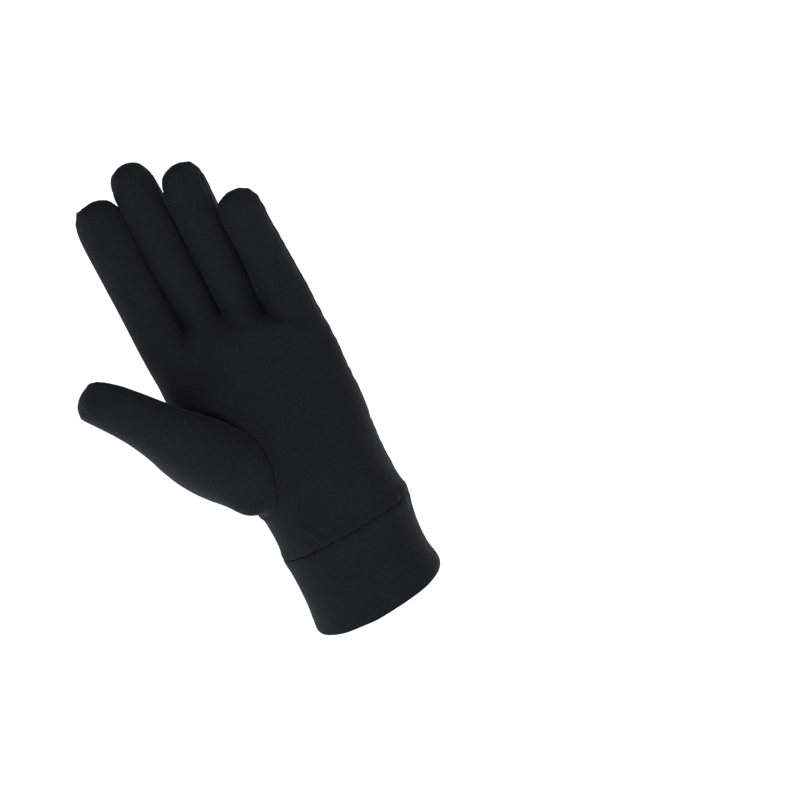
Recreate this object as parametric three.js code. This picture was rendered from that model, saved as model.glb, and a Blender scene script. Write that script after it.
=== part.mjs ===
// A thin stretch-knit glove liner for a left hand, in the form that the hand gives it.
// Millimetres, +Z up. It stands on its wrist opening with the fingers up, the palm faces -Y and the thumb
// points to -X. The origin is the middle of the wrist opening.
//
// The hand, thumb and fingers are one surface: a cage of four-sided faces, fitted so that its smooth limit
// surface runs through the sections in the tables below. The cloth pieces are parts of that surface, each
// given the cloth's thickness and parted from its neighbours by a narrow seam gap.
import * as THREE from 'three';

// Cloth
const clothThickness = 1.2;
const cuffThickness = 2.0;
const seamGap = 0.3;
const fingerGap = 0.45;

// Cuff: a folded band of knit sewn to the wrist edge of the hand
const cuffHeight = 41.7; // from the middle of the opening to the middle of the wrist seam
const rimSlope = 0.08; // rise of the rim for each millimetre towards the little finger
const rimSag = 4.9; // how far the front and back of the rim hang below its sides
const wristSeamSlope = 0.085;
const wristSeamSag = 0.4;

// Hand between the wrist seam and the finger crotches
const handLength = 120;
const palmWidth = 86;
const palmDepth = 30;
const webGap = 0.9; // width of the strip of cloth at the bottom of each crotch
const webRise = 1.5;
const fingerSlant = 0.28; // sideways lean of the fingers' facing sides for each millimetre from front to back

// Fingers, from the thumb's side: length from crotch to tip, width at the middle joint, and depth
const fingerSizes = [
  { name: 'index', length: 76.5, width: 22.4, depth: 19.5 },
  { name: 'middle', length: 84.5, width: 20.1, depth: 19.5 },
  { name: 'ring', length: 78.5, width: 20.3, depth: 19 },
  { name: 'little', length: 62.5, width: 19.6, depth: 17.5 },
];
// How each finger stands: width of its root as a share of the width, height of the root above the wrist seam
// as a share of the hand's length at its two sides, sideways lean and forward curl of the tip as shares of
// the length, and set-back of the root as a share of the palm's depth
const fingerStances = [
  { name: 'index', root: 1.03, left: 0.96, right: 1.0, lean: -0.028, curl: 0.11, back: -0.04 },
  { name: 'middle', root: 0.92, left: 1.0, right: 0.993, lean: -0.03, curl: 0.13, back: 0.03 },
  { name: 'ring', root: 0.92, left: 0.993, right: 0.937, lean: -0.01, curl: 0.15, back: 0.02 },
  { name: 'little', root: 1.1, left: 0.937, right: 0.88, lean: -0.045, curl: 0.16, back: -0.06 },
];
const fingers = fingerSizes.map((size, i) => ({ ...size, ...fingerStances[i] }));
const fingerSections = [
  { along: 0.2, width: 1.0, depth: 1.0, sideAngle: 29 },
  { along: 0.45, width: 1.0, depth: 0.98, sideAngle: 29 },
  { along: 0.7, width: 1.01, depth: 0.95, sideAngle: 25 },
  { along: 0.88, width: 0.95, depth: 0.86, sideAngle: 15 },
  { along: 0.965, width: 0.66, depth: 0.58, sideAngle: 31 },
];
const rootDepth = 0.98; // share of the finger's depth
const rootSideAngle = 31;

// Palm sections from the wrist seam up. The edges are shares of the palm's width from the wrist's middle,
// front and back are shares of the palm's depth, and square makes the section fuller towards 0
const palmSections = [
  { at: 0, radial: -0.395, ulnar: 0.4, front: 0.7, back: 0.7, square: 0.87 },
  { at: 0.12, radial: -0.388, ulnar: 0.378, front: 0.68, back: 0.64, square: 0.87 },
  { at: 0.26, radial: -0.422, ulnar: 0.376, front: 0.66, back: 0.57, square: 0.86 },
  { at: 0.43, radial: -0.558, ulnar: 0.39, front: 0.6, back: 0.5, square: 0.84 },
  { at: 0.6, radial: -0.62, ulnar: 0.392, front: 0.5, back: 0.46, square: 0.82 },
  { at: 0.78, radial: -0.61, ulnar: 0.388, front: 0.43, back: 0.41, square: 0.8 },
  { at: 1.0, radial: -0.615, ulnar: 0.37, front: 0.36, back: 0.36, square: 0.8 },
];
// Where the columns of the cage run: the angle round the section, in degrees from the little finger's edge,
// of the column at the thumb side's edge and of the one beyond the thumb opening; fan is how far the columns
// have turned from the finger roots (0) to these angles (1)
const columnRows = [
  { at: 0, edge: -190, beyond: -102, fan: 1 },
  { at: 0.115, edge: -197, beyond: -96, fan: 1 },
  { at: 0.27, edge: -203, beyond: -90, fan: 1 },
  { at: 0.44, edge: -205, beyond: -88, fan: 1 },
  { at: 0.61, edge: -204, beyond: -90, fan: 1 },
  { at: 0.77, edge: -197, beyond: -94, fan: 1 },
  { at: 0.89, edge: -189, beyond: -100, fan: 0.5 },
  { at: 1.0, edge: -180, beyond: -100, fan: 0 },
];
// Soft swells of the palm side: centre round the section and up the hand, reach of each, and height as a
// share of the palm's depth
const palmSwells = [
  { name: 'heel below the little finger', angle: -50, at: 0.42, reachAngle: 45, reachAt: 0.3, height: 0.07 },
  { name: 'hollow of the palm', angle: -80, at: 0.6, reachAngle: 35, reachAt: 0.25, height: -0.08 },
  { name: 'pads below the fingers', angle: -80, at: 0.92, reachAngle: 70, reachAt: 0.12, height: 0.04 },
];

// Thumb: an inset piece whose oval seam lies on the thumb's side of the palm
const thumbWidth = 22;
const thumbDepth = 20;
const thumbSeam = { middleAngle: -147, halfAngle: 43, lean: 6, at: 0.458, halfAt: 0.258 };
// The thumb's sections from the seam to the tip: the middle of each as shares of the palm's width, the palm's
// depth and the hand's length above the wrist seam, its size as shares of the thumb's, how much of the seam's
// oval is still in it, and how much of its rise from the palm is held back, so that it leaves the palm softly
const thumbSections = [
  { across: -0.44, forward: -0.56, up: 0.42, width: 2.1, depth: 2.05, seam: 0.6, flat: 0.48 },
  { across: -0.55, forward: -0.7, up: 0.535, width: 1.82, depth: 1.75, seam: 0.28, flat: 0.04 },
  { across: -0.68, forward: -0.95, up: 0.69, width: 1.31, depth: 1.33, seam: 0.06, flat: 0.02 },
  { across: -0.785, forward: -1.18, up: 0.81, width: 1.12, depth: 1.14, seam: 0, flat: 0 },
  { across: -0.888, forward: -1.37, up: 0.908, width: 1.02, depth: 1.0, seam: 0, flat: 0 },
  { across: -0.965, forward: -1.47, up: 0.965, width: 0.86, depth: 0.72, seam: 0, flat: 0 },
  { across: -1.0, forward: -1.52, up: 0.985, width: 0, depth: 0, seam: 0, flat: 0 },
];

// Cuff sections from the rim up: height as a share of the cuff's, and reach as shares of the wrist's section
const cuffSections = [
  { at: 0, left: 0.995, right: 0.985, front: 1.04, back: 1.04 },
  { at: 0.12, left: 0.98, right: 0.985, front: 1.03, back: 1.03 },
  { at: 0.32, left: 0.96, right: 0.935, front: 1.01, back: 1.01 },
  { at: 0.58, left: 0.96, right: 0.93, front: 0.99, back: 0.99 },
  { at: 0.82, left: 0.98, right: 0.96, front: 0.985, back: 0.985 },
  { at: 1.0, left: 1.0, right: 1.0, front: 1.0, back: 1.0 },
];
const cuffSideCount = 56;

// Cage counts
const frontCount = 2; // of each finger, on the front and again on the back
const sideCount = 2; // of each side of a finger
const fittingRounds = 8;

const cottonBlack = { color: 0x1d2126, roughness: 0.85, metalness: 0 };

const radians = THREE.MathUtils.degToRad;
const mix = THREE.MathUtils.lerp;
const power = (value, exponent) => Math.sign(value) * Math.abs(value) ** exponent;
const bell = (distance, reach) => Math.exp(-((distance / reach) ** 2));

// The value of a table's column at a place, with a smooth curve through its rows
function column(table, key, place, field) {
  const last = table.length - 1;
  let i = 0;
  while (i < last - 1 && place > table[i + 1][key]) i++;
  const slope = (k) => {
    const a = table[Math.max(k - 1, 0)];
    const b = table[Math.min(k + 1, last)];
    return (b[field] - a[field]) / (b[key] - a[key]);
  };
  const span = table[i + 1][key] - table[i][key];
  const t = THREE.MathUtils.clamp((place - table[i][key]) / span, 0, 1);
  const t2 = t * t;
  const t3 = t2 * t;
  return table[i][field] * (2 * t3 - 3 * t2 + 1) + slope(i) * span * (t3 - 2 * t2 + t)
    + table[i + 1][field] * (3 * t2 - 2 * t3) + slope(i + 1) * span * (t3 - t2);
}

const wristSeamHeight = (x, frontness) => cuffHeight + wristSeamSlope * x - wristSeamSag * frontness;
const rimHeight = (x, frontness) => rimSlope * x + rimSag * (0.5 - frontness);

// A point of the palm's surface: the angle runs round the section, -90 at the palm and 90 at the back
function palmPoint(angle, at) {
  const field = (name) => column(palmSections, 'at', at, name);
  const radial = field('radial') * palmWidth;
  const ulnar = field('ulnar') * palmWidth;
  const a = radians(angle);
  const x = (radial + ulnar) / 2 + (ulnar - radial) / 2 * power(Math.cos(a), field('square'));
  let depth = Math.sin(a) < 0 ? field('front') : field('back');
  for (const swell of palmSwells) {
    depth += swell.height * bell(angle - swell.angle, swell.reachAngle) * bell(at - swell.at, swell.reachAt);
  }
  const y = depth * palmDepth * power(Math.sin(a), field('square'));
  const flat = 1 - THREE.MathUtils.smoothstep(at, 0, 0.8);
  const foot = mix(cuffHeight, wristSeamHeight(x, Math.abs(Math.sin(a))), flat);
  return new THREE.Vector3(x, y, foot + at * handLength);
}

// Which way the palm faces at a place
function palmNormal(angle, at) {
  const around = palmPoint(angle + 1, at).sub(palmPoint(angle - 1, at));
  const upward = palmPoint(angle, at + 0.01).sub(palmPoint(angle, at - 0.01));
  return around.cross(upward).normalize();
}

// A point of a finger's section, round its own axis
function sectionPoint(centre, angle, halfWidth, halfDepth) {
  const a = radians(angle);
  const y = halfDepth * power(Math.sin(a), 0.92);
  const x = halfWidth * power(Math.cos(a), 0.92) + fingerSlant * y;
  return new THREE.Vector3(centre.x + x, centre.y + y, centre.z);
}

// The angles of a finger's ring of points: left edge, front from left to right, right edge, back from right
// to left
function ringAngles(sideAngle) {
  const front = [];
  for (let i = 0; i <= frontCount; i++) {
    front.push(mix(-180 + sideAngle, -sideAngle, i / frontCount));
  }
  return [-180, ...front, 0, ...front.map((angle) => -angle).reverse()];
}

// The cage: points, and faces as four indices with the name of the cloth piece they belong to
const cagePoints = [];
const cageFaces = [];
const addPoint = (point) => cagePoints.push(point) - 1;
const addFace = (piece, ...corners) => cageFaces.push({ piece, corners });

// Closes a ring, taken as the outline of a grid, with the grid's faces: across is the number of faces between
// the ring's first point and its next corner, and pointAt gives the inner points
function closeRing(piece, ring, across, pointAt) {
  const up = ring.length / 2 - across;
  const grid = [];
  for (let r = 0; r <= up; r++) {
    grid.push([]);
    for (let c = 0; c <= across; c++) {
      if (r === 0) grid[r].push(ring[c]);
      else if (r === up) grid[r].push(ring[2 * across + up - c]);
      else if (c === across) grid[r].push(ring[across + r]);
      else if (c === 0) grid[r].push(ring[ring.length - r]);
      else grid[r].push(addPoint(pointAt(c / across * 2 - 1, r / up * 2 - 1)));
    }
  }
  for (let r = 0; r < up; r++) {
    for (let c = 0; c < across; c++) {
      addFace(piece, grid[r][c], grid[r][c + 1], grid[r + 1][c + 1], grid[r + 1][c]);
    }
  }
}

// Where each finger stands: roots side by side across the palm
const rootWidths = fingers.map((finger) => finger.width * finger.root);
const knuckleWidth = rootWidths.reduce((sum, width) => sum + width, 0) + webGap * (fingers.length - 1);
const knuckleMiddle = (palmSections.at(-1).radial + palmSections.at(-1).ulnar) / 2 * palmWidth;
let edge = knuckleMiddle - knuckleWidth / 2;
const rootCentres = rootWidths.map((width) => {
  const centre = edge + width / 2;
  edge += width + webGap;
  return centre;
});

// Fingers lie side by side: away from the roots, their middles are spaced by their own widths
const steps = fingers.map((finger, i) => (i ? (fingers[i - 1].width + finger.width) / 2 + fingerGap : 0));
const places = steps.map((_, i) => steps.slice(0, i + 1).reduce((sum, step) => sum + step, 0));
const freeShift = (rootCentres[1] + rootCentres[2] - places[1] - places[2]) / 2;
const freeCentres = places.map((place) => place + freeShift);

// All fingers lean with the middle one as far as they go together
function fingerCentre(index, along) {
  const finger = fingers[index];
  const apart = THREE.MathUtils.smoothstep(along, 0, 0.5);
  const sharedLean = fingers[1].lean * fingers[1].length;
  return new THREE.Vector3(
    mix(rootCentres[index], freeCentres[index], apart) + sharedLean * along
      + (finger.lean * finger.length - sharedLean) * along ** 3,
    finger.back * palmDepth - finger.curl * finger.length * along ** 1.6,
    cuffHeight + handLength * (finger.left + finger.right) / 2 + finger.length * along,
  );
}

// Height of the palm's edge at one of the points round a finger's root
function rootHeight(finger, centre, point) {
  const share = (point.x - centre.x) / (finger.width * finger.root) + 0.5;
  return cuffHeight + handLength * mix(finger.left, finger.right, THREE.MathUtils.clamp(share, 0, 1));
}

// Root rings first: the palm's top row is made of their outer points
const ringCount = 2 * frontCount + 2 * sideCount;
const rootRings = fingers.map((finger, index) => {
  const centre = fingerCentre(index, 0);
  return ringAngles(rootSideAngle).map((angle) => {
    const half = finger.width * finger.root / 2;
    const point = sectionPoint(centre, angle, half, finger.depth * rootDepth / 2);
    point.z = rootHeight(finger, centre, point);
    const inWeb = (angle === 0 && index < fingers.length - 1) || (angle === -180 && index > 0);
    if (inWeb) point.z += webRise;
    return addPoint(point);
  });
});
const frontOf = (ring) => ring.slice(1, frontCount + 2);
const backOf = (ring) => ring.slice(frontCount + 3);
const topRow = [
  rootRings[0][0],
  ...rootRings.flatMap(frontOf),
  rootRings.at(-1)[frontCount + 2],
  ...[...rootRings].reverse().flatMap(backOf),
];
const columns = topRow.length;

// Angles of the columns at the finger roots, read off the squashed section, growing from the thumb's edge
const topEdges = topRow.map((index) => cagePoints[index].x);
const topMiddle = (Math.min(...topEdges) + Math.max(...topEdges)) / 2;
const topHalf = (Math.max(...topEdges) - Math.min(...topEdges)) / 2;
const topAngles = topRow.map((index, k) => {
  const point = cagePoints[index];
  const across = THREE.MathUtils.clamp((point.x - topMiddle) / topHalf, -1, 1);
  const angle = THREE.MathUtils.radToDeg(Math.acos(across));
  return k <= columns / 2 ? -angle : angle;
});

// Rows of the palm below the roots. Column 0 runs down the thumb's edge, and the thumb opening lies between
// it and the column at its far side
const openingWidthCount = 5;
const middleColumn = columns / 2;
function fannedAngle(row, k) {
  if (k <= openingWidthCount) return mix(row.edge, row.beyond, k / openingWidthCount);
  if (k <= middleColumn) {
    return mix(row.beyond, 0, (k - openingWidthCount) / (middleColumn - openingWidthCount));
  }
  return mix(0, row.edge + 360, (k - middleColumn) / (columns - middleColumn));
}
const palmRows = columnRows.slice(0, -1).map((row) => topRow.map((topIndex, k) => {
  const angle = mix(topAngles[k], fannedAngle(row, k), row.fan);
  const point = palmPoint(angle, row.at);
  const top = cagePoints[topIndex];
  const reach = THREE.MathUtils.smoothstep(row.at, 0.5, 1);
  point.z = mix(point.z, wristSeamHeight(point.x, 0) + (top.z - wristSeamHeight(top.x, 0)) * row.at, reach);
  return addPoint(point);
}));
palmRows.push(topRow);

// The thumb opening takes the place of these faces
const openingRows = { from: 1, to: 5 };
for (let r = 0; r < palmRows.length - 1; r++) {
  for (let k = 0; k < columns; k++) {
    if (r >= openingRows.from && r < openingRows.to && k < openingWidthCount) continue;
    const next = (k + 1) % columns;
    addFace('hand', palmRows[r][k], palmRows[r][next], palmRows[r + 1][next], palmRows[r + 1][k]);
  }
}

// Strips at the bottom of the crotches, and the fingers on their roots
const crotchNames = ['fourchette_index_middle', 'fourchette_middle_ring', 'fourchette_ring_little'];
for (let i = 0; i < crotchNames.length; i++) {
  const [near, far] = [rootRings[i], rootRings[i + 1]];
  const right = frontCount + 2;
  addFace(crotchNames[i], near[right - 1], far[1], far[0], near[right]);
  addFace(crotchNames[i], near[right], far[0], far.at(-1), near[right + 1]);
}

fingers.forEach((finger, index) => {
  let below = rootRings[index];
  fingerSections.forEach((section, s) => {
    const centre = fingerCentre(index, section.along);
    const grown = mix(finger.root, 1, THREE.MathUtils.smoothstep(section.along, 0, 0.5)) * section.width;
    const ring = ringAngles(section.sideAngle).map((angle) => addPoint(sectionPoint(
      centre, angle, finger.width * grown / 2, finger.depth * section.depth / 2,
    )));
    for (let k = 0; k < ringCount; k++) {
      const next = (k + 1) % ringCount;
      const onLeft = k === 0 || k === ringCount - 1;
      const onRight = k === frontCount + 1 || k === frontCount + 2;
      const sewn = s < fingerSections.length - 1;
      let piece = 'hand';
      if (sewn && onLeft && index > 0) piece = crotchNames[index - 1];
      if (sewn && onRight && index < fingers.length - 1) piece = crotchNames[index];
      addFace(piece, below[k], below[next], ring[next], ring[k]);
    }
    below = ring;
  });
  const tip = fingerCentre(index, 1);
  const fromFront = [...below.slice(1), below[0]];
  closeRing('hand', fromFront, frontCount, (across) => tip.clone().setX(tip.x + across * finger.width * 0.2));
});

// The outline of the thumb's opening in the palm
const openingRing = [];
for (let k = 0; k < openingWidthCount; k++) openingRing.push(palmRows[openingRows.from][k]);
for (let r = openingRows.from; r < openingRows.to; r++) openingRing.push(palmRows[r][openingWidthCount]);
for (let k = openingWidthCount; k > 0; k--) openingRing.push(palmRows[openingRows.to][k]);
for (let r = openingRows.to; r > openingRows.from; r--) openingRing.push(palmRows[r][0]);
const thumbSides = openingRing.length;
const thumbAngles = openingRing.map((_, j) => radians(360 * j / thumbSides - 140));

// The seam between thumb and palm: where each of its points lies on the palm
const seamPlaces = thumbAngles.map((a) => ({
  angle: thumbSeam.middleAngle + thumbSeam.halfAngle * Math.cos(a) + thumbSeam.lean * Math.sin(a),
  at: thumbSeam.at + thumbSeam.halfAt * Math.sin(a),
}));
const seamPoints = seamPlaces.map(({ angle, at }) => palmPoint(angle, at));
const seamNormals = seamPlaces.map(({ angle, at }) => palmNormal(angle, at));
const seamMiddle = new THREE.Vector3();
seamPoints.forEach((point) => seamMiddle.addScaledVector(point, 1 / thumbSides));

// The rings of the thumb's tube, and its closed tip
const thumbMiddles = thumbSections.map(({ across, forward, up }) => new THREE.Vector3(
  across * palmWidth, forward * palmDepth, cuffHeight + up * handLength,
));
function thumbFrame(s) {
  const before = thumbMiddles[s - 1] ?? thumbMiddles[s];
  const after = thumbMiddles[s + 1] ?? thumbMiddles[s];
  const onward = after.clone().sub(before).normalize();
  const right = new THREE.Vector3(1, 0, 0).addScaledVector(onward, -onward.x).normalize();
  return { onward, right, up: new THREE.Vector3().crossVectors(onward, right) };
}

let thumbRing = seamPoints.map(addPoint);
openingRing.forEach((corner, j) => {
  const next = (j + 1) % thumbSides;
  addFace('hand', corner, openingRing[next], thumbRing[next], thumbRing[j]);
});
thumbSections.slice(0, -1).forEach((section, s) => {
  const { right, up } = thumbFrame(s);
  const along = thumbMiddles[s].clone().sub(seamMiddle);
  const ring = thumbAngles.map((a, j) => {
    const point = thumbMiddles[s].clone()
      .addScaledVector(right, thumbWidth * section.width / 2 * Math.cos(a))
      .addScaledVector(up, thumbDepth * section.depth / 2 * Math.sin(a));
    point.lerp(seamPoints[j].clone().add(along), section.seam);
    const rise = Math.max(point.clone().sub(seamPoints[j]).dot(seamNormals[j]), 0);
    return addPoint(point.addScaledVector(seamNormals[j], -rise * section.flat));
  });
  ring.forEach((corner, j) => {
    const next = (j + 1) % thumbSides;
    addFace('thumb', thumbRing[j], thumbRing[next], ring[next], corner);
  });
  thumbRing = ring;
});
const tipFrame = thumbFrame(thumbSections.length - 1);
const tipSection = thumbSections.at(-2);
const tipDrop = thumbMiddles.at(-1).distanceTo(thumbMiddles.at(-2));
closeRing('thumb', thumbRing, openingWidthCount, (across, up) => thumbMiddles.at(-1).clone()
  .addScaledVector(tipFrame.right, thumbWidth * tipSection.width * 0.36 * across)
  .addScaledVector(tipFrame.up, thumbDepth * tipSection.depth * 0.36 * up)
  .addScaledVector(tipFrame.onward, -tipDrop * 0.5 * (across ** 2 + up ** 2)));

// Who neighbours whom in a surface of four-sided faces
function neighbours(count, faces) {
  const around = Array.from({ length: count }, () => ({ edges: new Map(), diagonals: [] }));
  for (const { corners } of faces) {
    corners.forEach((v, i) => {
      const following = corners[(i + 1) % 4];
      const edges = around[v].edges;
      edges.set(following, (edges.get(following) ?? 0) + 1);
      around[following].edges.set(v, (around[following].edges.get(v) ?? 0) + 1);
      around[v].diagonals.push(corners[(i + 2) % 4]);
    });
  }
  return around.map(({ edges, diagonals }) => {
    const rim = [...edges].filter(([, uses]) => uses === 1).map(([v]) => v);
    return { edges: [...edges.keys()], diagonals, rim };
  });
}

// Where the smooth surface of a cage runs, at each of its points
function limitPoints(points, around) {
  return points.map((point, v) => {
    const { edges, diagonals, rim } = around[v];
    const sum = new THREE.Vector3();
    if (rim.length === 2) {
      rim.forEach((u) => sum.add(points[u]));
      return sum.addScaledVector(point, 4).divideScalar(6);
    }
    const n = edges.length;
    edges.forEach((u) => sum.addScaledVector(points[u], 4));
    diagonals.forEach((u) => sum.add(points[u]));
    return sum.addScaledVector(point, n * n).divideScalar(n * (n + 5));
  });
}

// Moves the cage so that its smooth surface passes through the points it was given
function fitCage(targets, faces) {
  const around = neighbours(targets.length, faces);
  const points = targets.map((point) => point.clone());
  for (let round = 0; round < fittingRounds; round++) {
    const limits = limitPoints(points, around);
    points.forEach((point, v) => point.add(targets[v]).sub(limits[v]));
  }
  return points;
}

// One Catmull-Clark step: each face becomes four
function subdivide(points, faces) {
  const around = neighbours(points.length, faces);
  const finer = [];
  const facePoint = faces.map(({ corners }) => {
    const middle = new THREE.Vector3();
    corners.forEach((v) => middle.addScaledVector(points[v], 0.25));
    return middle;
  });
  const edgeFaces = new Map();
  const edgeKey = (a, b) => (a < b ? `${a} ${b}` : `${b} ${a}`);
  faces.forEach(({ corners }, f) => corners.forEach((v, i) => {
    const key = edgeKey(v, corners[(i + 1) % 4]);
    edgeFaces.set(key, [...(edgeFaces.get(key) ?? []), f]);
  }));
  const atFaces = points.map(() => []);
  faces.forEach(({ corners }, f) => corners.forEach((v) => atFaces[v].push(f)));

  points.forEach((point, v) => {
    const { edges, rim } = around[v];
    const moved = new THREE.Vector3();
    if (rim.length === 2) {
      rim.forEach((u) => moved.addScaledVector(points[u], 1 / 8));
      finer.push(moved.addScaledVector(point, 6 / 8));
      return;
    }
    const n = edges.length;
    atFaces[v].forEach((f) => moved.addScaledVector(facePoint[f], 1 / (n * n)));
    edges.forEach((u) => moved.addScaledVector(points[u].clone().add(point), 1 / (n * n)));
    finer.push(moved.addScaledVector(point, (n - 3) / n));
  });
  const facePointAt = faces.map((_, f) => finer.push(facePoint[f]) - 1);
  const edgePointAt = new Map();
  for (const [key, sides] of edgeFaces) {
    const [a, b] = key.split(' ').map(Number);
    const middle = points[a].clone().add(points[b]);
    if (sides.length === 2) middle.add(facePoint[sides[0]]).add(facePoint[sides[1]]).multiplyScalar(1 / 4);
    else middle.multiplyScalar(1 / 2);
    edgePointAt.set(key, finer.push(middle) - 1);
  }
  const finerFaces = faces.flatMap(({ piece, corners }, f) => corners.map((v, i) => ({
    piece,
    corners: [
      v,
      edgePointAt.get(edgeKey(v, corners[(i + 1) % 4])),
      facePointAt[f],
      edgePointAt.get(edgeKey(corners[(i + 3) % 4], v)),
    ],
  })));
  return { points: finer, faces: finerFaces };
}

function faceNormal(points, corners) {
  const [a, b, c, d] = corners.map((v) => points[v]);
  return new THREE.Vector3().crossVectors(c.clone().sub(a), d.clone().sub(b));
}

function pointNormals(points, faces) {
  const normals = points.map(() => new THREE.Vector3());
  for (const { corners } of faces) {
    const normal = faceNormal(points, corners);
    corners.forEach((v) => normals[v].add(normal));
  }
  return normals.map((normal) => normal.normalize());
}

// A closed solid from a sheet of faces: the outer side, the inner side one thickness below, and the cut
// edges, which are drawn back by half a seam gap
function clothSolid(points, normals, faces, thickness) {
  const used = new Map();
  faces.forEach(({ corners }) => corners.forEach((v) => used.has(v) || used.set(v, used.size)));
  const seen = new Map();
  faces.forEach(({ corners }) => corners.forEach((v, i) => {
    const following = corners[(i + 1) % 4];
    seen.set(`${v} ${following}`, [v, following]);
  }));
  const rimEdges = [...seen.values()].filter(([a, b]) => !seen.has(`${b} ${a}`));
  const along = new Map();
  for (const [a, b] of rimEdges) {
    const direction = points[b].clone().sub(points[a]).normalize();
    for (const v of [a, b]) along.set(v, (along.get(v) ?? new THREE.Vector3()).add(direction));
  }
  const drawn = new Map([...along].map(([v, direction]) => {
    const inward = new THREE.Vector3().crossVectors(normals[v], direction).normalize();
    return [v, inward.multiplyScalar(seamGap / 2)];
  }));
  const count = used.size;
  const positions = new Float32Array(count * 2 * 3);
  for (const [v, i] of used) {
    const outer = points[v].clone();
    if (drawn.has(v)) outer.add(drawn.get(v));
    outer.toArray(positions, i * 3);
    outer.addScaledVector(normals[v], -thickness).toArray(positions, (count + i) * 3);
  }
  const indices = [];
  const quad = (a, b, c, d) => indices.push(a, b, c, a, c, d);
  for (const { corners } of faces) {
    const [a, b, c, d] = corners.map((v) => used.get(v));
    quad(a, b, c, d);
    quad(count + d, count + c, count + b, count + a);
  }
  for (const [a, b] of rimEdges) {
    const [i, j] = [used.get(a), used.get(b)];
    quad(j, i, count + i, count + j);
  }
  const geometry = new THREE.BufferGeometry();
  geometry.setAttribute('position', new THREE.BufferAttribute(positions, 3));
  geometry.setIndex(indices);
  geometry.computeVertexNormals();
  return geometry;
}

// The cuff: a band folded over at the rim, as one closed ring
function cuffSolid() {
  const outline = [
    ...[0.06, 0.16, 0.34, 0.56, 0.78, 1].map((at) => ({ at, inset: 0 })),
    ...[1, 0.7, 0.4, 0.06].map((at) => ({ at, inset: 1 })),
    { at: 0, inset: 0.8 },
    { at: 0, inset: 0.2 },
  ];
  const wrist = palmSections[0];
  const positions = [];
  const indices = [];
  for (let k = 0; k < cuffSideCount; k++) {
    const a = 2 * Math.PI * k / cuffSideCount;
    const frontness = Math.abs(Math.sin(a));
    const width = Math.cos(a) < 0 ? -wrist.radial : wrist.ulnar;
    const depth = Math.sin(a) < 0 ? wrist.front : wrist.back;
    for (const { at, inset } of outline) {
      const field = (name) => column(cuffSections, 'at', at, name);
      const halfWidth = palmWidth * width * field(Math.cos(a) < 0 ? 'left' : 'right') - inset * cuffThickness;
      const halfDepth = palmDepth * depth * field(Math.sin(a) < 0 ? 'front' : 'back') - inset * cuffThickness;
      const x = halfWidth * power(Math.cos(a), wrist.square);
      const y = halfDepth * power(Math.sin(a), wrist.square);
      const top = wristSeamHeight(x, frontness) - seamGap / 2;
      positions.push(x, y, mix(rimHeight(x, frontness), top, at));
    }
  }
  const count = outline.length;
  for (let k = 0; k < cuffSideCount; k++) {
    for (let i = 0; i < count; i++) {
      const here = k * count;
      const there = ((k + 1) % cuffSideCount) * count;
      const up = (i + 1) % count;
      indices.push(here + i, there + i, there + up, here + i, there + up, here + up);
    }
  }
  const geometry = new THREE.BufferGeometry();
  geometry.setAttribute('position', new THREE.BufferAttribute(new Float32Array(positions), 3));
  geometry.setIndex(indices);
  geometry.computeVertexNormals();
  return geometry;
}

const cloth = (name, geometry) => {
  const mesh = new THREE.Mesh(geometry, new THREE.MeshStandardMaterial(cottonBlack));
  mesh.name = name;
  return mesh;
};

const fitted = fitCage(cagePoints, cageFaces);
const smooth = subdivide(fitted, cageFaces);
const surface = limitPoints(smooth.points, neighbours(smooth.points.length, smooth.faces));
const surfaceNormals = pointNormals(surface, smooth.faces);

const glove = new THREE.Group();
for (const name of ['hand', ...crotchNames, 'thumb']) {
  const faces = smooth.faces.filter(({ piece }) => piece === name);
  glove.add(cloth(name, clothSolid(surface, surfaceNormals, faces, clothThickness)));
}
glove.add(cloth('cuff', cuffSolid()));

export default glove;
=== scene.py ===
"""Dresses a packed glove liner: knit cloth pieces, seams, stitches, and a plain stage."""
import math
from functools import partial

import bpy
import numpy as np
from mathutils import Matrix, Vector, noise
from mathutils.kdtree import KDTree


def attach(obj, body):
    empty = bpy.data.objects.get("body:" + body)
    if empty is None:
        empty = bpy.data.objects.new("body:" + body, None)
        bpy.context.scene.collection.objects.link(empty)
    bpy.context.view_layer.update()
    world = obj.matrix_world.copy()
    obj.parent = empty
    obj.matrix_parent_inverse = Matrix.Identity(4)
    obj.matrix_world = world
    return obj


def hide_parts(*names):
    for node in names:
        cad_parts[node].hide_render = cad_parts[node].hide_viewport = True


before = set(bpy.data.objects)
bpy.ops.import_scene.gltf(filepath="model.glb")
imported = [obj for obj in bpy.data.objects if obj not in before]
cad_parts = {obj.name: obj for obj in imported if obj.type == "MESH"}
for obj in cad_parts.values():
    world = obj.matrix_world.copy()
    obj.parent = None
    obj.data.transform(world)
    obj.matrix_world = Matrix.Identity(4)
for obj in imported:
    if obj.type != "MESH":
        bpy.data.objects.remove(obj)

bl_info = {
    "name": "Knit Glove Liner",
    "version": (1, 0, 0),
    "blender": (4, 5, 0),
    "location": "3D View > Sidebar > Glove",
    "description": "Builds a stretch-knit glove liner piece by piece over its packed model",
    "category": "Add Mesh",
}

BODY = "root"
CROTCHES = ("fourchette_index_middle", "fourchette_middle_ring", "fourchette_ring_little")
MILLIMETRE = 0.001


def table(columns, *rows):
    """Rows of values under named columns"""
    names = columns.split()
    return [dict(zip(names, row)) for row in rows]


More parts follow.
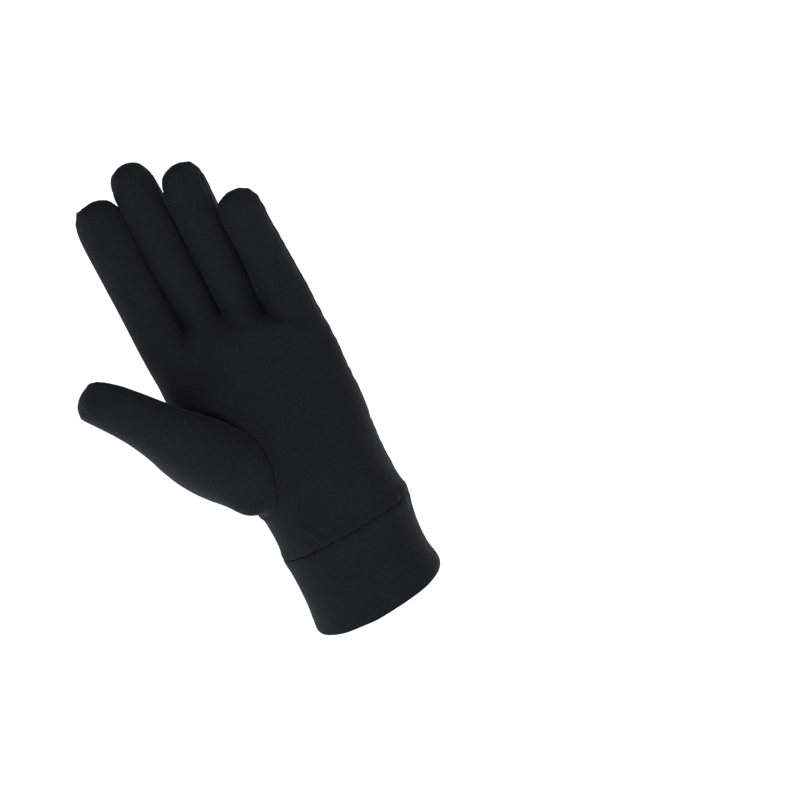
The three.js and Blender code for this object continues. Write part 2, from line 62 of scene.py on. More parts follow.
# How each finger stands: width of its root as a share of its width, height of the root above the wrist seam
# as a share of the hand's length at its two sides, sideways lean and forward curl of the tip as shares of
# its length, and set-back of the root as a share of the palm's depth
FINGER_STANCES = table(
    "root left right lean curl back",
    (1.03, 0.96, 1.0, -0.028, 0.11, -0.04),
    (0.92, 1.0, 0.993, -0.03, 0.13, 0.03),
    (0.92, 0.993, 0.937, -0.01, 0.15, 0.02),
    (1.1, 0.937, 0.88, -0.045, 0.16, -0.06),
)
FINGER_SECTIONS = table(
    "along width depth side_angle",
    (0.2, 1.0, 1.0, 29),
    (0.45, 1.0, 0.98, 29),
    (0.7, 1.01, 0.95, 25),
    (0.88, 0.95, 0.86, 15),
    (0.965, 0.66, 0.58, 31),
)
ROOT_DEPTH = 0.98
ROOT_SIDE_ANGLE = 31

# Palm sections from the wrist seam up: edges as shares of the palm's width, front and back as shares of its
# depth, and square makes the section fuller towards 0
PALM_SECTIONS = table(
    "at radial ulnar front back square",
    (0, -0.395, 0.4, 0.7, 0.7, 0.87),
    (0.12, -0.388, 0.378, 0.68, 0.64, 0.87),
    (0.26, -0.422, 0.376, 0.66, 0.57, 0.86),
    (0.43, -0.558, 0.39, 0.6, 0.5, 0.84),
    (0.6, -0.62, 0.392, 0.5, 0.46, 0.82),
    (0.78, -0.61, 0.388, 0.43, 0.41, 0.8),
    (1.0, -0.615, 0.37, 0.36, 0.36, 0.8),
)
# Where the columns of the cage run round the palm, in degrees from the little finger's edge
COLUMN_ROWS = table(
    "at edge beyond fan",
    (0, -190, -102, 1),
    (0.115, -197, -96, 1),
    (0.27, -203, -90, 1),
    (0.44, -205, -88, 1),
    (0.61, -204, -90, 1),
    (0.77, -197, -94, 1),
    (0.89, -189, -100, 0.5),
    (1.0, -180, -100, 0),
)
# Soft swells of the palm side: the heel, the hollow of the palm and the pads below the fingers
PALM_SWELLS = table(
    "angle at reach_angle reach_at height",
    (-50, 0.42, 45, 0.3, 0.07),
    (-80, 0.6, 35, 0.25, -0.08),
    (-80, 0.92, 70, 0.12, 0.04),
)
THUMB_SEAM = {"middle_angle": -147, "half_angle": 43, "lean": 6, "at": 0.458, "half_at": 0.258}
# Thumb sections from the seam to the tip: middle as shares of the palm's width, its depth and the hand's
# length, size as shares of the thumb's, how much of the seam's oval is still in it, and how much of its rise
# from the palm is held back, so that it leaves the palm softly
THUMB_SECTIONS = table(
    "across forward up width depth seam flat",
    (-0.44, -0.56, 0.42, 2.1, 2.05, 0.6, 0.48),
    (-0.55, -0.7, 0.535, 1.82, 1.75, 0.28, 0.04),
    (-0.68, -0.95, 0.69, 1.31, 1.33, 0.06, 0.02),
    (-0.785, -1.18, 0.81, 1.12, 1.14, 0, 0),
    (-0.888, -1.37, 0.908, 1.02, 1.0, 0, 0),
    (-0.965, -1.47, 0.965, 0.86, 0.72, 0, 0),
    (-1.0, -1.52, 0.985, 0, 0, 0, 0),
)
# Cuff sections from the rim up: height as a share of the cuff's, and reach as shares of the wrist's section
CUFF_SECTIONS = table(
    "at left right front back",
    (0, 0.995, 0.985, 1.04, 1.04),
    (0.12, 0.98, 0.985, 1.03, 1.03),
    (0.32, 0.96, 0.935, 1.01, 1.01),
    (0.58, 0.96, 0.93, 0.99, 0.99),
    (0.82, 0.98, 0.96, 0.985, 0.985),
    (1.0, 1.0, 1.0, 1.0, 1.0),
)
RIM_SLOPE = 0.08
RIM_SAG = 0.0049
WRIST_SEAM_SLOPE = 0.085
WRIST_SEAM_SAG = 0.0004
WEB_GAP = 0.0009
WEB_RISE = 0.0015
FINGER_GAP = 0.00045
FINGER_SLANT = 0.28
FINGER_SQUARE = 0.92
THUMB_TIP_SPREAD = 0.36
FITTING_ROUNDS = 8

# How the cloth lies along each kind of seam, in millimetres: the sewn groove (a ridge below 0), the puff of
# cloth beside it, the puckers across it, how dark the groove is painted (the seam's dark joint and painted
# shade in the groove), and how far its edges are tucked in
SEAM_LOOKS = table(
    "kind groove width puff puff_reach pucker pitch reach dark tuck",
    ("finger", 0.16, 0.5, 0.06, 1.6, 0.12, 2.7, 2.2, 0.35, 0.05),
    ("tip", 0.26, 0.6, 0.10, 1.8, 0.18, 2.4, 2.4, 0.45, 0.05),
    ("thumb", -0.16, 0.45, 0.0, 3.0, 0.05, 3.4, 1.5, 0.0, 0.0),
    ("thumb_side", 0.3, 0.7, 0.10, 1.8, 0.12, 3.2, 2.4, 0.4, 0.06),
    ("side", 0.3, 0.7, 0.10, 1.8, 0.30, 3.4, 3.0, 0.45, 0.08),
    ("wrist", 0.42, 0.6, 0.26, 2.6, 0.42, 1.5, 4.0, 1.0, 0.05),
)
# The cloth beside the thumb's seam is drawn up into a soft slope on the palm's side, in millimetres
THUMB_SLOPE = {"height": 2.4, "reach": 3.8}
# How much the noise along a seam changes its groove, its puckers and its dark, and how far the noise of one
# kind of seam lies from that of the next
SEAM_RIPPLE = {"groove": 0.5, "pucker": 1.6, "dark": 1.3, "apart": 7.3}
# Beside the wrist seam the cloth stands out at the little finger's side and draws in at the thumb's side:
# height in millimetres, distance from the seam and reach in metres
WRIST_PUFFS = table("side height away reach", (1, 0.55, 0.0035, 0.003), (-1, -0.25, 0.0, 0.0018))
WRIST_PUFF_SPREAD = 2.4
# Ends of seams stand out a little at a finger's corner: height and reach in millimetres
SEAM_EARS = table(
    "place height reach",
    ("index", 1.3, 1.5),
    ("ring", 0.9, 1.4),
    ("thumb", 1.5, 1.7),
    ("thumb heel", 2.6, 8.5),
)
# Unevenness of the cloth: size of its lumps in metres, height in millimetres, and their start in the noise
HAND_LUMPS = table("size height start", (0.021, 0.3, 3.0), (0.0085, 0.13, 11.0))
CUFF_LUMPS = table("size height start", (0.017, 0.28, 2.0), (0.006, 0.1, 4.0))

# Fold lines: a line of places (angle round the palm, share of the hand's length), the depth of its valley
# and its half width in millimetres. They run from the thumb seam's end to the wrist, over the thumb's
# crotch, in the palm's hollow, and over the back of the thumb's crotch
FOLDS = table(
    "places depth width",
    (((-122, 0.165), (-116, 0.12), (-108, 0.07), (-102, 0.03)), 0.28, 1.6),
    (((-118, 0.76), (-128, 0.70), (-140, 0.69), (-152, 0.71)), 0.55, 2.6),
    (((-104, 0.64), (-96, 0.72), (-86, 0.77), (-74, 0.79)), 0.16, 4.5),
    (((-205, 0.72), (-214, 0.66), (-224, 0.60), (-232, 0.55)), 0.35, 2.2),
)
FOLD_STEPS = 60

# Shade between the fingers: share of the way down to the crotch, reach in millimetres and strength
GAP_SHADES = table("at reach dark", (0, 2.2, 0.6), (0.35, 4.0, 0.95), (0.7, 6.6, 1.1), (1.0, 8.6, 1.2))
# How far the cloth of each crotch swells in millimetres, so that the fingers touch, and where: reach across
# in metres, middle and reach as shares of the way down
CROTCH_SWELLS = (0.0, 0.05, 0.4)
SWELL_PLACE = {"across": 0.003, "down": 0.85, "reach": 0.45}
# Shade of the hollow above the thumb: its place on the palm, reach in metres and strength
HOLLOW_SHADE = {"angle": -116, "at": 0.8, "reach": 0.0115, "dark": 0.62}

# The subdivision at which the knit is laid flat and the cloth's inner side is made
COARSE_LEVEL = 1
# How far a cut edge tucks inwards for each step down, and its thickness as a share of the cloth's
CUT_EDGE = {"inward": 0.6, "thickness": 0.8}

# The cuff's mesh: points round it, rows down its outer side (from, to, how many), rows round its fold and
# the fold's heights, and rows up inside, all heights as shares of the cuff's
CUFF_AROUND = 320
CUFF_OUTER_ROWS = ((1, 0.8, 14), (0.785, 0.12, 26))
CUFF_FOLD = {"rows": 9, "low": 0.012, "high": 0.055}
CUFF_INNER_ROWS = (0.12, 0.25, 0.4, 0.6, 0.8, 0.97)
# Puckers below the cuff's seam: size in metres, height in millimetres, start in the noise, drift downwards
CUFF_RIPPLES = table("size height start drift", (0.0032, 0.63, 5.0, 0.0), (0.0072, 0.45, 8.0, 0.15))
# How the cuff's cloth lies: heights of puff, grooves and the rim's wave in millimetres, all else in metres,
# the painted shade of its inner side, and the thin dark line above the rim, painted shade under the fold
CUFF_LOOK = {
    "ripple_reach": 0.009,
    "puff": 0.26,
    "puff_away": 0.0032,
    "puff_reach": 0.0026,
    "groove": 0.15,
    "spot_groove": 0.7,
    "groove_reach": 0.0007,
    "spot_size": 0.0016,
    "wave": 0.35,
    "wave_size": 0.012,
    "wave_reach": 0.004,
    "rim_line_at": 0.0008,
    "line_reach": 0.0009,
    "inner_painted_shade": 0.9,
}

# Stitches: kinds of seams, height above the cloth in metres, and shares of the stitches' pitch and length
STITCHES = table(
    "name kinds above pitch length seed",
    ("finger_stitches", ("finger", "tip"), 0.0001, 1.0, 0.9, 3),
    ("side_stitches", ("side",), 0.0001, 1.15, 1.0, 5),
    ("thumb_stitches", ("thumb", "thumb_side"), 0.0, 1.0, 0.9, 7),
    ("wrist_stitches", ("wrist",), 0.0002, 1.25, 1.5, 9),
)
STITCH_LEAN = 0.4

LIGHTS = table(
    "name place target size watts",
    ("key", (-0.35, -1.0, 0.05), (-0.01, 0.0, 0.08), 0.7, 5.0),
    ("left rim", (-1.1, 0.45, 0.0), (-0.04, 0.0, 0.08), 0.8, 12.0),
    ("right rim", (1.0, 0.75, -0.2), (-0.02, 0.0, 0.06), 0.8, 12.0),
)
FLOOR = {"reach": 30.0, "level": -0.5}
# The camera's angles in degrees, the point it looks at (to the right and up, seen by it unturned) and its
# distance in metres, and its lens and sensor in millimetres
CAMERA = {
    "elevation": 12.5,
    "roll": 25,
    "aim": (0.0487, 0.0832),
    "distance": 3.185,
    "lens": 300,
    "sensor": 36,
    "clip_end": 100,
}


def metres(name, description, default, low, high):
    """A length that the panel shows"""
    return bpy.props.FloatProperty(
        name=name, description=description, default=default, min=low, max=high, unit="LENGTH",
    )


def finger_metres(name, description, default):
    """One length of each finger"""
    return bpy.props.FloatVectorProperty(
        name=name, description=description + ": index, middle, ring and little finger",
        size=4, default=default, unit="LENGTH",
    )


def tint(name, description, default):
    """A colour that the panel shows"""
    return bpy.props.FloatVectorProperty(
        name=name, description=description, size=3, default=default, subtype="COLOR", min=0, max=1,
    )


class GloveSizes(bpy.types.PropertyGroup):
    """Sizes of the glove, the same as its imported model's"""

    hand_length: metres("Hand Length", "From the wrist seam to the finger crotches", 0.12, 0.08, 0.16)
    palm_width: metres("Palm Width", "Breadth that the palm's sections are shares of", 0.086, 0.06, 0.12)
    palm_depth: metres("Palm Depth", "Depth that the palm's sections are shares of", 0.03, 0.02, 0.05)
    cuff_height: metres("Cuff Height", "From the middle of the opening to the seam", 0.0417, 0.02, 0.08)
    finger_lengths: finger_metres("Finger Lengths", "From crotch to tip", (0.0765, 0.0845, 0.0785, 0.0625))
    finger_widths: finger_metres("Finger Widths", "At the middle joint", (0.0224, 0.0201, 0.0203, 0.0196))
    finger_depths: finger_metres("Finger Depths", "From front to back", (0.0195, 0.0195, 0.019, 0.0175))
    thumb_width: metres("Thumb Width", "Breadth of the thumb near its tip", 0.022, 0.015, 0.03)
    thumb_depth: metres("Thumb Depth", "Depth of the thumb near its tip", 0.02, 0.012, 0.03)
    cloth_thickness: metres("Cloth Thickness", "Thickness of the knit", 0.0011, 0.0005, 0.002)
    cuff_thickness: metres("Cuff Thickness", "Thickness of the folded cuff", 0.002, 0.001, 0.004)
    refinements: bpy.props.IntProperty(
        name="Refinements", description="How often the surface's faces are divided in four",
        default=4, min=3, max=4,
    )


class GloveStitching(bpy.types.PropertyGroup):
    """Thread and knit sizes"""

    pitch: metres("Stitch Pitch", "Distance from one stitch to the next", 0.00165, 0.0008, 0.005)
    length: metres("Stitch Length", "Length of thread that shows across a seam", 0.0012, 0.0004, 0.003)
    thickness: metres("Thread Thickness", "Diameter of the thread", 0.00024, 0.0001, 0.0006)
    wale: metres("Wale Width", "Width of one column of the knit's loops", 0.00085, 0.0003, 0.003)
    course: metres("Course Height", "Height of one row of the knit's loops", 0.00066, 0.0003, 0.003)


class GloveColours(bpy.types.PropertyGroup):
    """Colours of the yarn and of the stage"""

    yarn: tint("Yarn", "Main colour of the knit", (0.0063, 0.0090, 0.0111))
    # yarn_deep is also the colour of the painted shade between the fingers, above the thumb, at the cuff's
    # rim and inside
    yarn_deep: tint("Yarn in the Shade", "Colour between loops and in seams", (0.0030, 0.0046, 0.0059))
    yarn_worn: tint("Yarn Fuzz", "Colour of the loops' tops and of fuzz", (0.0095, 0.0133, 0.0161))
    thread: tint("Thread", "Colour of the sewing thread", (0.0058, 0.0083, 0.0104))
    floor: tint("Floor", "Colour of the floor", (0.93, 0.93, 0.93))


def mix(a, b, share):
    return a + (b - a) * share


def smoothstep(value, low, high):
    share = min(max((value - low) / (high - low), 0.0), 1.0)
    return share * share * (3 - 2 * share)


def power(value, exponent):
    return math.copysign(abs(value) ** exponent, value)


def bell(distance, reach):
    return np.exp(-((distance / reach) ** 2))


def column(rows, place, field):
    """The value of a table's column at a place, with a smooth curve through its rows"""
    last = len(rows) - 1
    i = 0
    while i < last - 1 and place > rows[i + 1]["at"]:
        i += 1

    def slope(k):
        before = rows[max(k - 1, 0)]
        after = rows[min(k + 1, last)]
        return (after[field] - before[field]) / (after["at"] - before["at"])

    span = rows[i + 1]["at"] - rows[i]["at"]
    t = min(max((place - rows[i]["at"]) / span, 0.0), 1.0)
    t2 = t * t
    t3 = t2 * t
    here = rows[i][field] * (2 * t3 - 3 * t2 + 1) + slope(i) * span * (t3 - 2 * t2 + t)
    return here + rows[i + 1][field] * (3 * t2 - 2 * t3) + slope(i + 1) * span * (t3 - t2)


def wrist_seam_height(sizes, x, frontness):
    return sizes.cuff_height + WRIST_SEAM_SLOPE * x - WRIST_SEAM_SAG * frontness


def rim_height(x, frontness):
    return RIM_SLOPE * x + RIM_SAG * (0.5 - frontness)


def palm_point(sizes, angle, at):
    """A point of the palm: the angle runs round the section, -90 at the palm and 90 at the back"""
    radial = column(PALM_SECTIONS, at, "radial") * sizes.palm_width
    ulnar = column(PALM_SECTIONS, at, "ulnar") * sizes.palm_width
    square = column(PALM_SECTIONS, at, "square")
    a = math.radians(angle)
    x = (radial + ulnar) / 2 + (ulnar - radial) / 2 * power(math.cos(a), square)
    depth = column(PALM_SECTIONS, at, "front" if math.sin(a) < 0 else "back")
    for swell in PALM_SWELLS:
        near = bell(angle - swell["angle"], swell["reach_angle"]) * bell(at - swell["at"], swell["reach_at"])
        depth += swell["height"] * near
    y = depth * sizes.palm_depth * power(math.sin(a), square)
    flat = 1 - smoothstep(at, 0, 0.8)
    foot = mix(sizes.cuff_height, wrist_seam_height(sizes, x, abs(math.sin(a))), flat)
    return np.array((x, y, foot + at * sizes.hand_length))


def palm_normal(sizes, angle, at):
    """Which way the palm faces there"""
    around = palm_point(sizes, angle + 1, at) - palm_point(sizes, angle - 1, at)
    upward = palm_point(sizes, angle, at + 0.01) - palm_point(sizes, angle, at - 0.01)
    normal = np.cross(around, upward)
    return normal / np.linalg.norm(normal)


def section_point(centre, angle, half_width, half_depth):
    """A point of a finger's section, round its own axis"""
    a = math.radians(angle)
    y = half_depth * power(math.sin(a), FINGER_SQUARE)
    x = half_width * power(math.cos(a), FINGER_SQUARE) + FINGER_SLANT * y
    return centre + np.array((x, y, 0.0))


def ring_angles(side_angle):
    """Left edge, front from left to right, right edge, back from right to left"""
    front = [mix(-180 + side_angle, -side_angle, i / 2) for i in range(3)]
    return [-180, *front, 0, *[-angle for angle in reversed(front)]]


class Cage:
    """The coarse cage of the whole glove above the wrist seam, with its seams as lines of its points"""

    def __init__(self, sizes):
        self.sizes = sizes
        self.points = []
        self.faces = []
        self.pieces = []
        self.seams = []
        self.ears = {}
        self.build_roots()
        self.build_palm()
        self.build_fingers()
        self.build_thumb()

    def point(self, place):
        self.points.append(np.asarray(place, float))
        return len(self.points) - 1

    def face(self, piece, *corners):
        self.faces.append(corners)
        self.pieces.append(piece)

    def seam(self, kind, points, closed=False):
        self.seams.append({"kind": kind, "points": np.array(points), "closed": closed})

    def close_ring(self, piece, ring, across, point_at):
        """Closes a ring, taken as the outline of a grid, with the grid's faces, and returns the grid"""
        up = len(ring) // 2 - across
        grid = []
        for r in range(up + 1):
            row = []
            for c in range(across + 1):
                if r == 0:
                    row.append(ring[c])
                elif r == up:
                    row.append(ring[2 * across + up - c])
                elif c == across:
                    row.append(ring[across + r])
                elif c == 0:
                    row.append(ring[len(ring) - r])
                else:
                    row.append(self.point(point_at(c / across * 2 - 1, r / up * 2 - 1)))
            grid.append(row)
        for r in range(up):
            for c in range(across):
                self.face(piece, grid[r][c], grid[r][c + 1], grid[r + 1][c + 1], grid[r + 1][c])
        return grid

    def finger_centre(self, index, along):
        sizes = self.sizes
        stance = FINGER_STANCES[index]
        length = sizes.finger_lengths[index]
        apart = smoothstep(along, 0, 0.5)
        shared = FINGER_STANCES[1]["lean"] * sizes.finger_lengths[1]
        x = mix(self.root_centres[index], self.free_centres[index], apart) + shared * along
        x += (stance["lean"] * length - shared) * along ** 3
        y = stance["back"] * sizes.palm_depth - stance["curl"] * length * along ** 1.6
        foot = sizes.hand_length * (stance["left"] + stance["right"]) / 2
        return np.array((x, y, sizes.cuff_height + foot + length * along))

    def build_roots(self):
        """Finger roots side by side across the palm"""
        sizes = self.sizes
        widths = sizes.finger_widths
        root_widths = [widths[i] * FINGER_STANCES[i]["root"] for i in range(4)]
        total = sum(root_widths) + WEB_GAP * 3
        edge = (PALM_SECTIONS[-1]["radial"] + PALM_SECTIONS[-1]["ulnar"]) / 2 * sizes.palm_width - total / 2
        self.root_centres = []
        for width in root_widths:
            self.root_centres.append(edge + width / 2)
            edge += width + WEB_GAP
        places = [0.0]
        for i in range(1, 4):
            places.append(places[-1] + (widths[i - 1] + widths[i]) / 2 + FINGER_GAP)
        shift = (self.root_centres[1] + self.root_centres[2] - places[1] - places[2]) / 2
        self.free_centres = [place + shift for place in places]
        self.rings = []
        for index, stance in enumerate(FINGER_STANCES):
            centre = self.finger_centre(index, 0)
            half = root_widths[index] / 2
            ring = []
            for angle in ring_angles(ROOT_SIDE_ANGLE):
                place = section_point(centre, angle, half, sizes.finger_depths[index] * ROOT_DEPTH / 2)
                share = min(max((place[0] - centre[0]) / (2 * half) + 0.5, 0.0), 1.0)
                slope = mix(stance["left"], stance["right"], share)
                place[2] = sizes.cuff_height + sizes.hand_length * slope
                if (angle == 0 and index < 3) or (angle == -180 and index > 0):
                    place[2] += WEB_RISE
                ring.append(self.point(place))
            self.rings.append([ring])

    def build_palm(self):
        """Rows of the palm below the finger roots, around the thumb opening"""
        sizes = self.sizes
        roots = [rings[0] for rings in self.rings]
        top = [roots[0][0]]
        for ring in roots:
            top += ring[1:4]
        top.append(roots[-1][4])
        for ring in reversed(roots):
            top += ring[5:]
        count = len(top)
        xs = np.array([self.points[i][0] for i in top])
        middle = (xs.min() + xs.max()) / 2
        half = (xs.max() - xs.min()) / 2
        angles = np.degrees(np.arccos(np.clip((xs - middle) / half, -1, 1)))
        angles = [-a if k <= count // 2 else a for k, a in enumerate(angles)]
        rows = []
        for row in COLUMN_ROWS[:-1]:
            ids = []
            for k, top_index in enumerate(top):
                if 2 <= len(rows) <= 4 and 1 <= k <= 4:
                    ids.append(None)
                    continue
                if k <= 5:
                    fanned = mix(row["edge"], row["beyond"], k / 5)
                elif k <= count // 2:
                    fanned = mix(row["beyond"], 0, (k - 5) / (count // 2 - 5))
                else:
                    fanned = mix(0, row["edge"] + 360, (k - count // 2) / (count - count // 2))
                place = palm_point(sizes, mix(angles[k], fanned, row["fan"]), row["at"])
                end = self.points[top_index]
                reach = smoothstep(row["at"], 0.5, 1)
                rise = end[2] - wrist_seam_height(sizes, end[0], 0)
                slanted = wrist_seam_height(sizes, place[0], 0) + rise * row["at"]
                place[2] = mix(place[2], slanted, reach)
                ids.append(self.point(place))
            rows.append(ids)
        rows.append(top)
        self.palm_rows = rows
        for r in range(len(rows) - 1):
            for k in range(count):
                if 1 <= r < 5 and k < 5:
                    continue
                after = (k + 1) % count
                self.face("hand", rows[r][k], rows[r][after], rows[r + 1][after], rows[r + 1][k])
        self.seam("wrist", rows[0], closed=True)

    def build_fingers(self):
        sizes = self.sizes
        for i, crotch in enumerate(CROTCHES):
            near, far = self.rings[i][0], self.rings[i + 1][0]
            self.face(crotch, near[3], far[1], far[0], near[4])
            self.face(crotch, near[4], far[0], far[7], near[5])
        for index, stance in enumerate(FINGER_STANCES):
            width = sizes.finger_widths[index]
            below = self.rings[index][0]
            for s, section in enumerate(FINGER_SECTIONS):
                centre = self.finger_centre(index, section["along"])
                grown = mix(stance["root"], 1, smoothstep(section["along"], 0, 0.5)) * section["width"]
                deep = sizes.finger_depths[index] * section["depth"] / 2
                ring = [
                    self.point(section_point(centre, angle, width * grown / 2, deep))
                    for angle in ring_angles(section["side_angle"])
                ]
                for k in range(8):
                    after = (k + 1) % 8
                    piece = "hand"
                    if s < 4 and k in (0, 7) and index > 0:
                        piece = CROTCHES[index - 1]
                    if s < 4 and k in (3, 4) and index < 3:
                        piece = CROTCHES[index]
                    self.face(piece, below[k], below[after], ring[after], ring[k])
                self.rings[index].append(ring)
                below = ring
            tip = self.finger_centre(index, 1)
            reach = np.array((width * 0.2, 0.0, 0.0))
            grid = self.close_ring("hand", below[1:] + below[:1], 2, lambda across, up: tip + across * reach)
            self.rings[index].append([grid[1][1]])
        for i in range(3):
            near, far = self.rings[i], self.rings[i + 1]
            for side, other in ((3, 1), (5, 7)):
                down = [near[s][side] for s in range(4, -1, -1)]
                self.seam("finger", down + [far[s][other] for s in range(5)])
            for rings, corner in ((near, (3, 4, 5)), (far, (7, 0, 1))):
                self.seam("finger", [rings[4][k] for k in corner])
            self.seam("gap", [near[s][4] for s in range(4, -1, -1)])
            self.seam("gap", [far[s][0] for s in range(4, -1, -1)])
        for index, rings in enumerate(self.rings):
            over = [rings[5][4], rings[6][0], rings[5][0], rings[4][0]]
            if index < 3:
                self.seam("tip", [rings[4][4], *over])
            else:
                ulnar = [row[13] for row in self.palm_rows]
                self.seam("side", ulnar + [rings[s][4] for s in range(1, 5)] + over)
        self.ears["index"] = self.rings[0][5][0]
        self.ears["ring"] = self.rings[2][5][4]

    def build_thumb(self):
        sizes = self.sizes
        rows = self.palm_rows
        opening = [rows[1][k] for k in range(5)]
        opening += [rows[r][5] for r in range(1, 5)]
        opening += [rows[5][k] for k in range(5, 0, -1)]
        opening += [rows[r][0] for r in range(5, 1, -1)]
        count = len(opening)
        angles = [math.radians(360 * j / count - 140) for j in range(count)]
        seam = []
        outward = []
        for a in angles:
            angle = THUMB_SEAM["middle_angle"] + THUMB_SEAM["half_angle"] * math.cos(a)
            angle += THUMB_SEAM["lean"] * math.sin(a)
            at = THUMB_SEAM["at"] + THUMB_SEAM["half_at"] * math.sin(a)
            seam.append(palm_point(sizes, angle, at))
            outward.append(palm_normal(sizes, angle, at))
        seam_middle = sum(seam) / count
        middles = [
            np.array((
                row["across"] * sizes.palm_width,
                row["forward"] * sizes.palm_depth,
                sizes.cuff_height + row["up"] * sizes.hand_length,
            ))
            for row in THUMB_SECTIONS
        ]

        def thumb_frame(s):
            onward = middles[min(s + 1, len(middles) - 1)] - middles[max(s - 1, 0)]
            onward /= np.linalg.norm(onward)
            right = np.array((1.0, 0.0, 0.0)) - onward * onward[0]
            right /= np.linalg.norm(right)
            return onward, right, np.cross(onward, right)

        self.thumb_middles = np.array([seam_middle, *middles])
        ring = [self.point(place) for place in seam]
        self.seam("thumb", ring, closed=True)
        for j, corner in enumerate(opening):
            after = (j + 1) % count
            self.face("hand", corner, opening[after], ring[after], ring[j])
        side = [ring[7]]
        for s, row in enumerate(THUMB_SECTIONS[:-1]):
            _, right, up = thumb_frame(s)
            along = middles[s] - seam_middle
            upper = []
            for j, a in enumerate(angles):
                place = middles[s] + right * (sizes.thumb_width * row["width"] / 2 * math.cos(a))
                place = place + up * (sizes.thumb_depth * row["depth"] / 2 * math.sin(a))
                place = mix(place, seam[j] + along, row["seam"])
                rise = max(np.dot(place - seam[j], outward[j]), 0.0)
                upper.append(self.point(place - outward[j] * rise * row["flat"]))
            for j in range(count):
                after = (j + 1) % count
                self.face("thumb", ring[j], ring[after], upper[after], upper[j])
            if s == 0:
                self.ears["thumb heel"] = upper[1]
            ring = upper
            side.append(ring[7])
        onward, right, up = thumb_frame(len(middles) - 1)
        last = THUMB_SECTIONS[-2]
        drop = np.linalg.norm(middles[-1] - middles[-2])

        def tip_point(across, high):
            place = middles[-1] + right * (sizes.thumb_width * last["width"] * THUMB_TIP_SPREAD * across)
            place = place + up * (sizes.thumb_depth * last["depth"] * THUMB_TIP_SPREAD * high)
            return place - onward * (drop * 0.5 * (across ** 2 + high ** 2))

        grid = self.close_ring("thumb", ring, 5, tip_point)
        self.seam("thumb_side", side + [grid[2][c] for c in range(4, -1, -1)])
        self.ears["thumb"] = grid[2][5]


def gather(index, values, count):
    """Sums rows of values at the places that index gives"""
    return np.stack([np.bincount(index, values[:, i], count) for i in range(values.shape[1])], 1)


class Links:
    """The edges of a surface of four-sided faces, and how its points and faces meet in them"""

    def __init__(self, faces, count):
        first = faces.ravel()
        second = np.roll(faces, -1, axis=1).ravel()
        keys = np.minimum(first, second) * count + np.maximum(first, second)
        self.count = count
        self.keys, inverse, self.uses = np.unique(keys, return_inverse=True, return_counts=True)
        self.edges = np.stack([self.keys // count, self.keys % count], 1)
        self.face_edges = inverse.reshape(-1, 4)
        self.valence = np.bincount(self.edges.ravel(), minlength=count)
        self.rim = self.edges[self.uses == 1]
        self.on_rim = np.zeros(count, bool)
        self.on_rim[self.rim.ravel()] = True

    def find(self, first, second):
        """The numbers of the edges that join these points"""
        return np.searchsorted(self.keys, np.minimum(first, second) * self.count + np.maximum(first, second))

    def around(self, points, edges):
        a, b = edges[:, 0], edges[:, 1]
        return gather(a, points[b], self.count) + gather(b, points[a], self.count)


def limit_points(points, faces, links):
    """Where the smooth surface of a cage runs, at each of its points"""
    n = links.valence[:, None]
    diagonals = gather(faces.ravel(), points[np.roll(faces, -2, axis=1).ravel()], links.count)
    inner = (n * n * points + 4 * links.around(points, links.edges) + diagonals) / (n * (n + 5))
    rim = (links.around(points, links.rim) + 4 * points) / 6
    return np.where(links.on_rim[:, None], rim, inner)


def fit_cage(targets, faces, links):
    """Moves a cage so that its smooth surface passes through the points it was given"""
    points = targets.copy()
    for _ in range(FITTING_ROUNDS):
        points += targets - limit_points(points, faces, links)
    return points


def subdivide(points, faces, links):
    """One Catmull-Clark step: each face becomes four"""
    count = links.count
    middles = points[faces].mean(1)
    n = links.valence[:, None]
    face_sum = gather(faces.ravel(), np.repeat(middles, 4, axis=0), count)
    inner = (face_sum + links.around(points, links.edges)) / n ** 2 + points * (n - 2) / n
    rim = links.around(points, links.rim) / 8 + points * 0.75
    moved = np.where(links.on_rim[:, None], rim, inner)
    ends = points[links.edges].sum(1)
    beside = gather(links.face_edges.ravel(), np.repeat(middles, 4, axis=0), len(links.edges))
    edge_points = np.where((links.uses == 2)[:, None], (ends + beside) / 4, ends / 2)
    face_ids = count + np.arange(len(faces))
    edge_ids = count + len(faces) + links.face_edges
    children = [
        np.stack([faces[:, i], edge_ids[:, i], face_ids, edge_ids[:, i - 1]], 1)
        for i in range(4)
    ]
    return np.concatenate([moved, middles, edge_points]), np.stack(children, 1).reshape(-1, 4)


def line_steps(line, closed):
    """The two ends of each step along a line of points"""
    if closed:
        return line, np.roll(line, -1)
    return line[:-1], line[1:]


def finer_line(line, closed, links, face_count):
    """A line of points, with the edge points that one subdivision sets between them"""
    before, after = line_steps(line, closed)
    between = links.count + face_count + links.find(before, after)
    finer = np.stack([before, between], 1).ravel()
    return finer if closed else np.append(finer, line[-1])


def point_normals(points, faces):
    corners = points[faces]
    across = np.cross(corners[:, 2] - corners[:, 0], corners[:, 3] - corners[:, 1])
    normals = gather(faces.ravel(), np.repeat(across, 4, axis=0), len(points))
    return normals / np.linalg.norm(normals, axis=1, keepdims=True)


def unit_rows(rows):
    return rows / np.maximum(np.linalg.norm(rows, axis=1, keepdims=True), 1e-12)


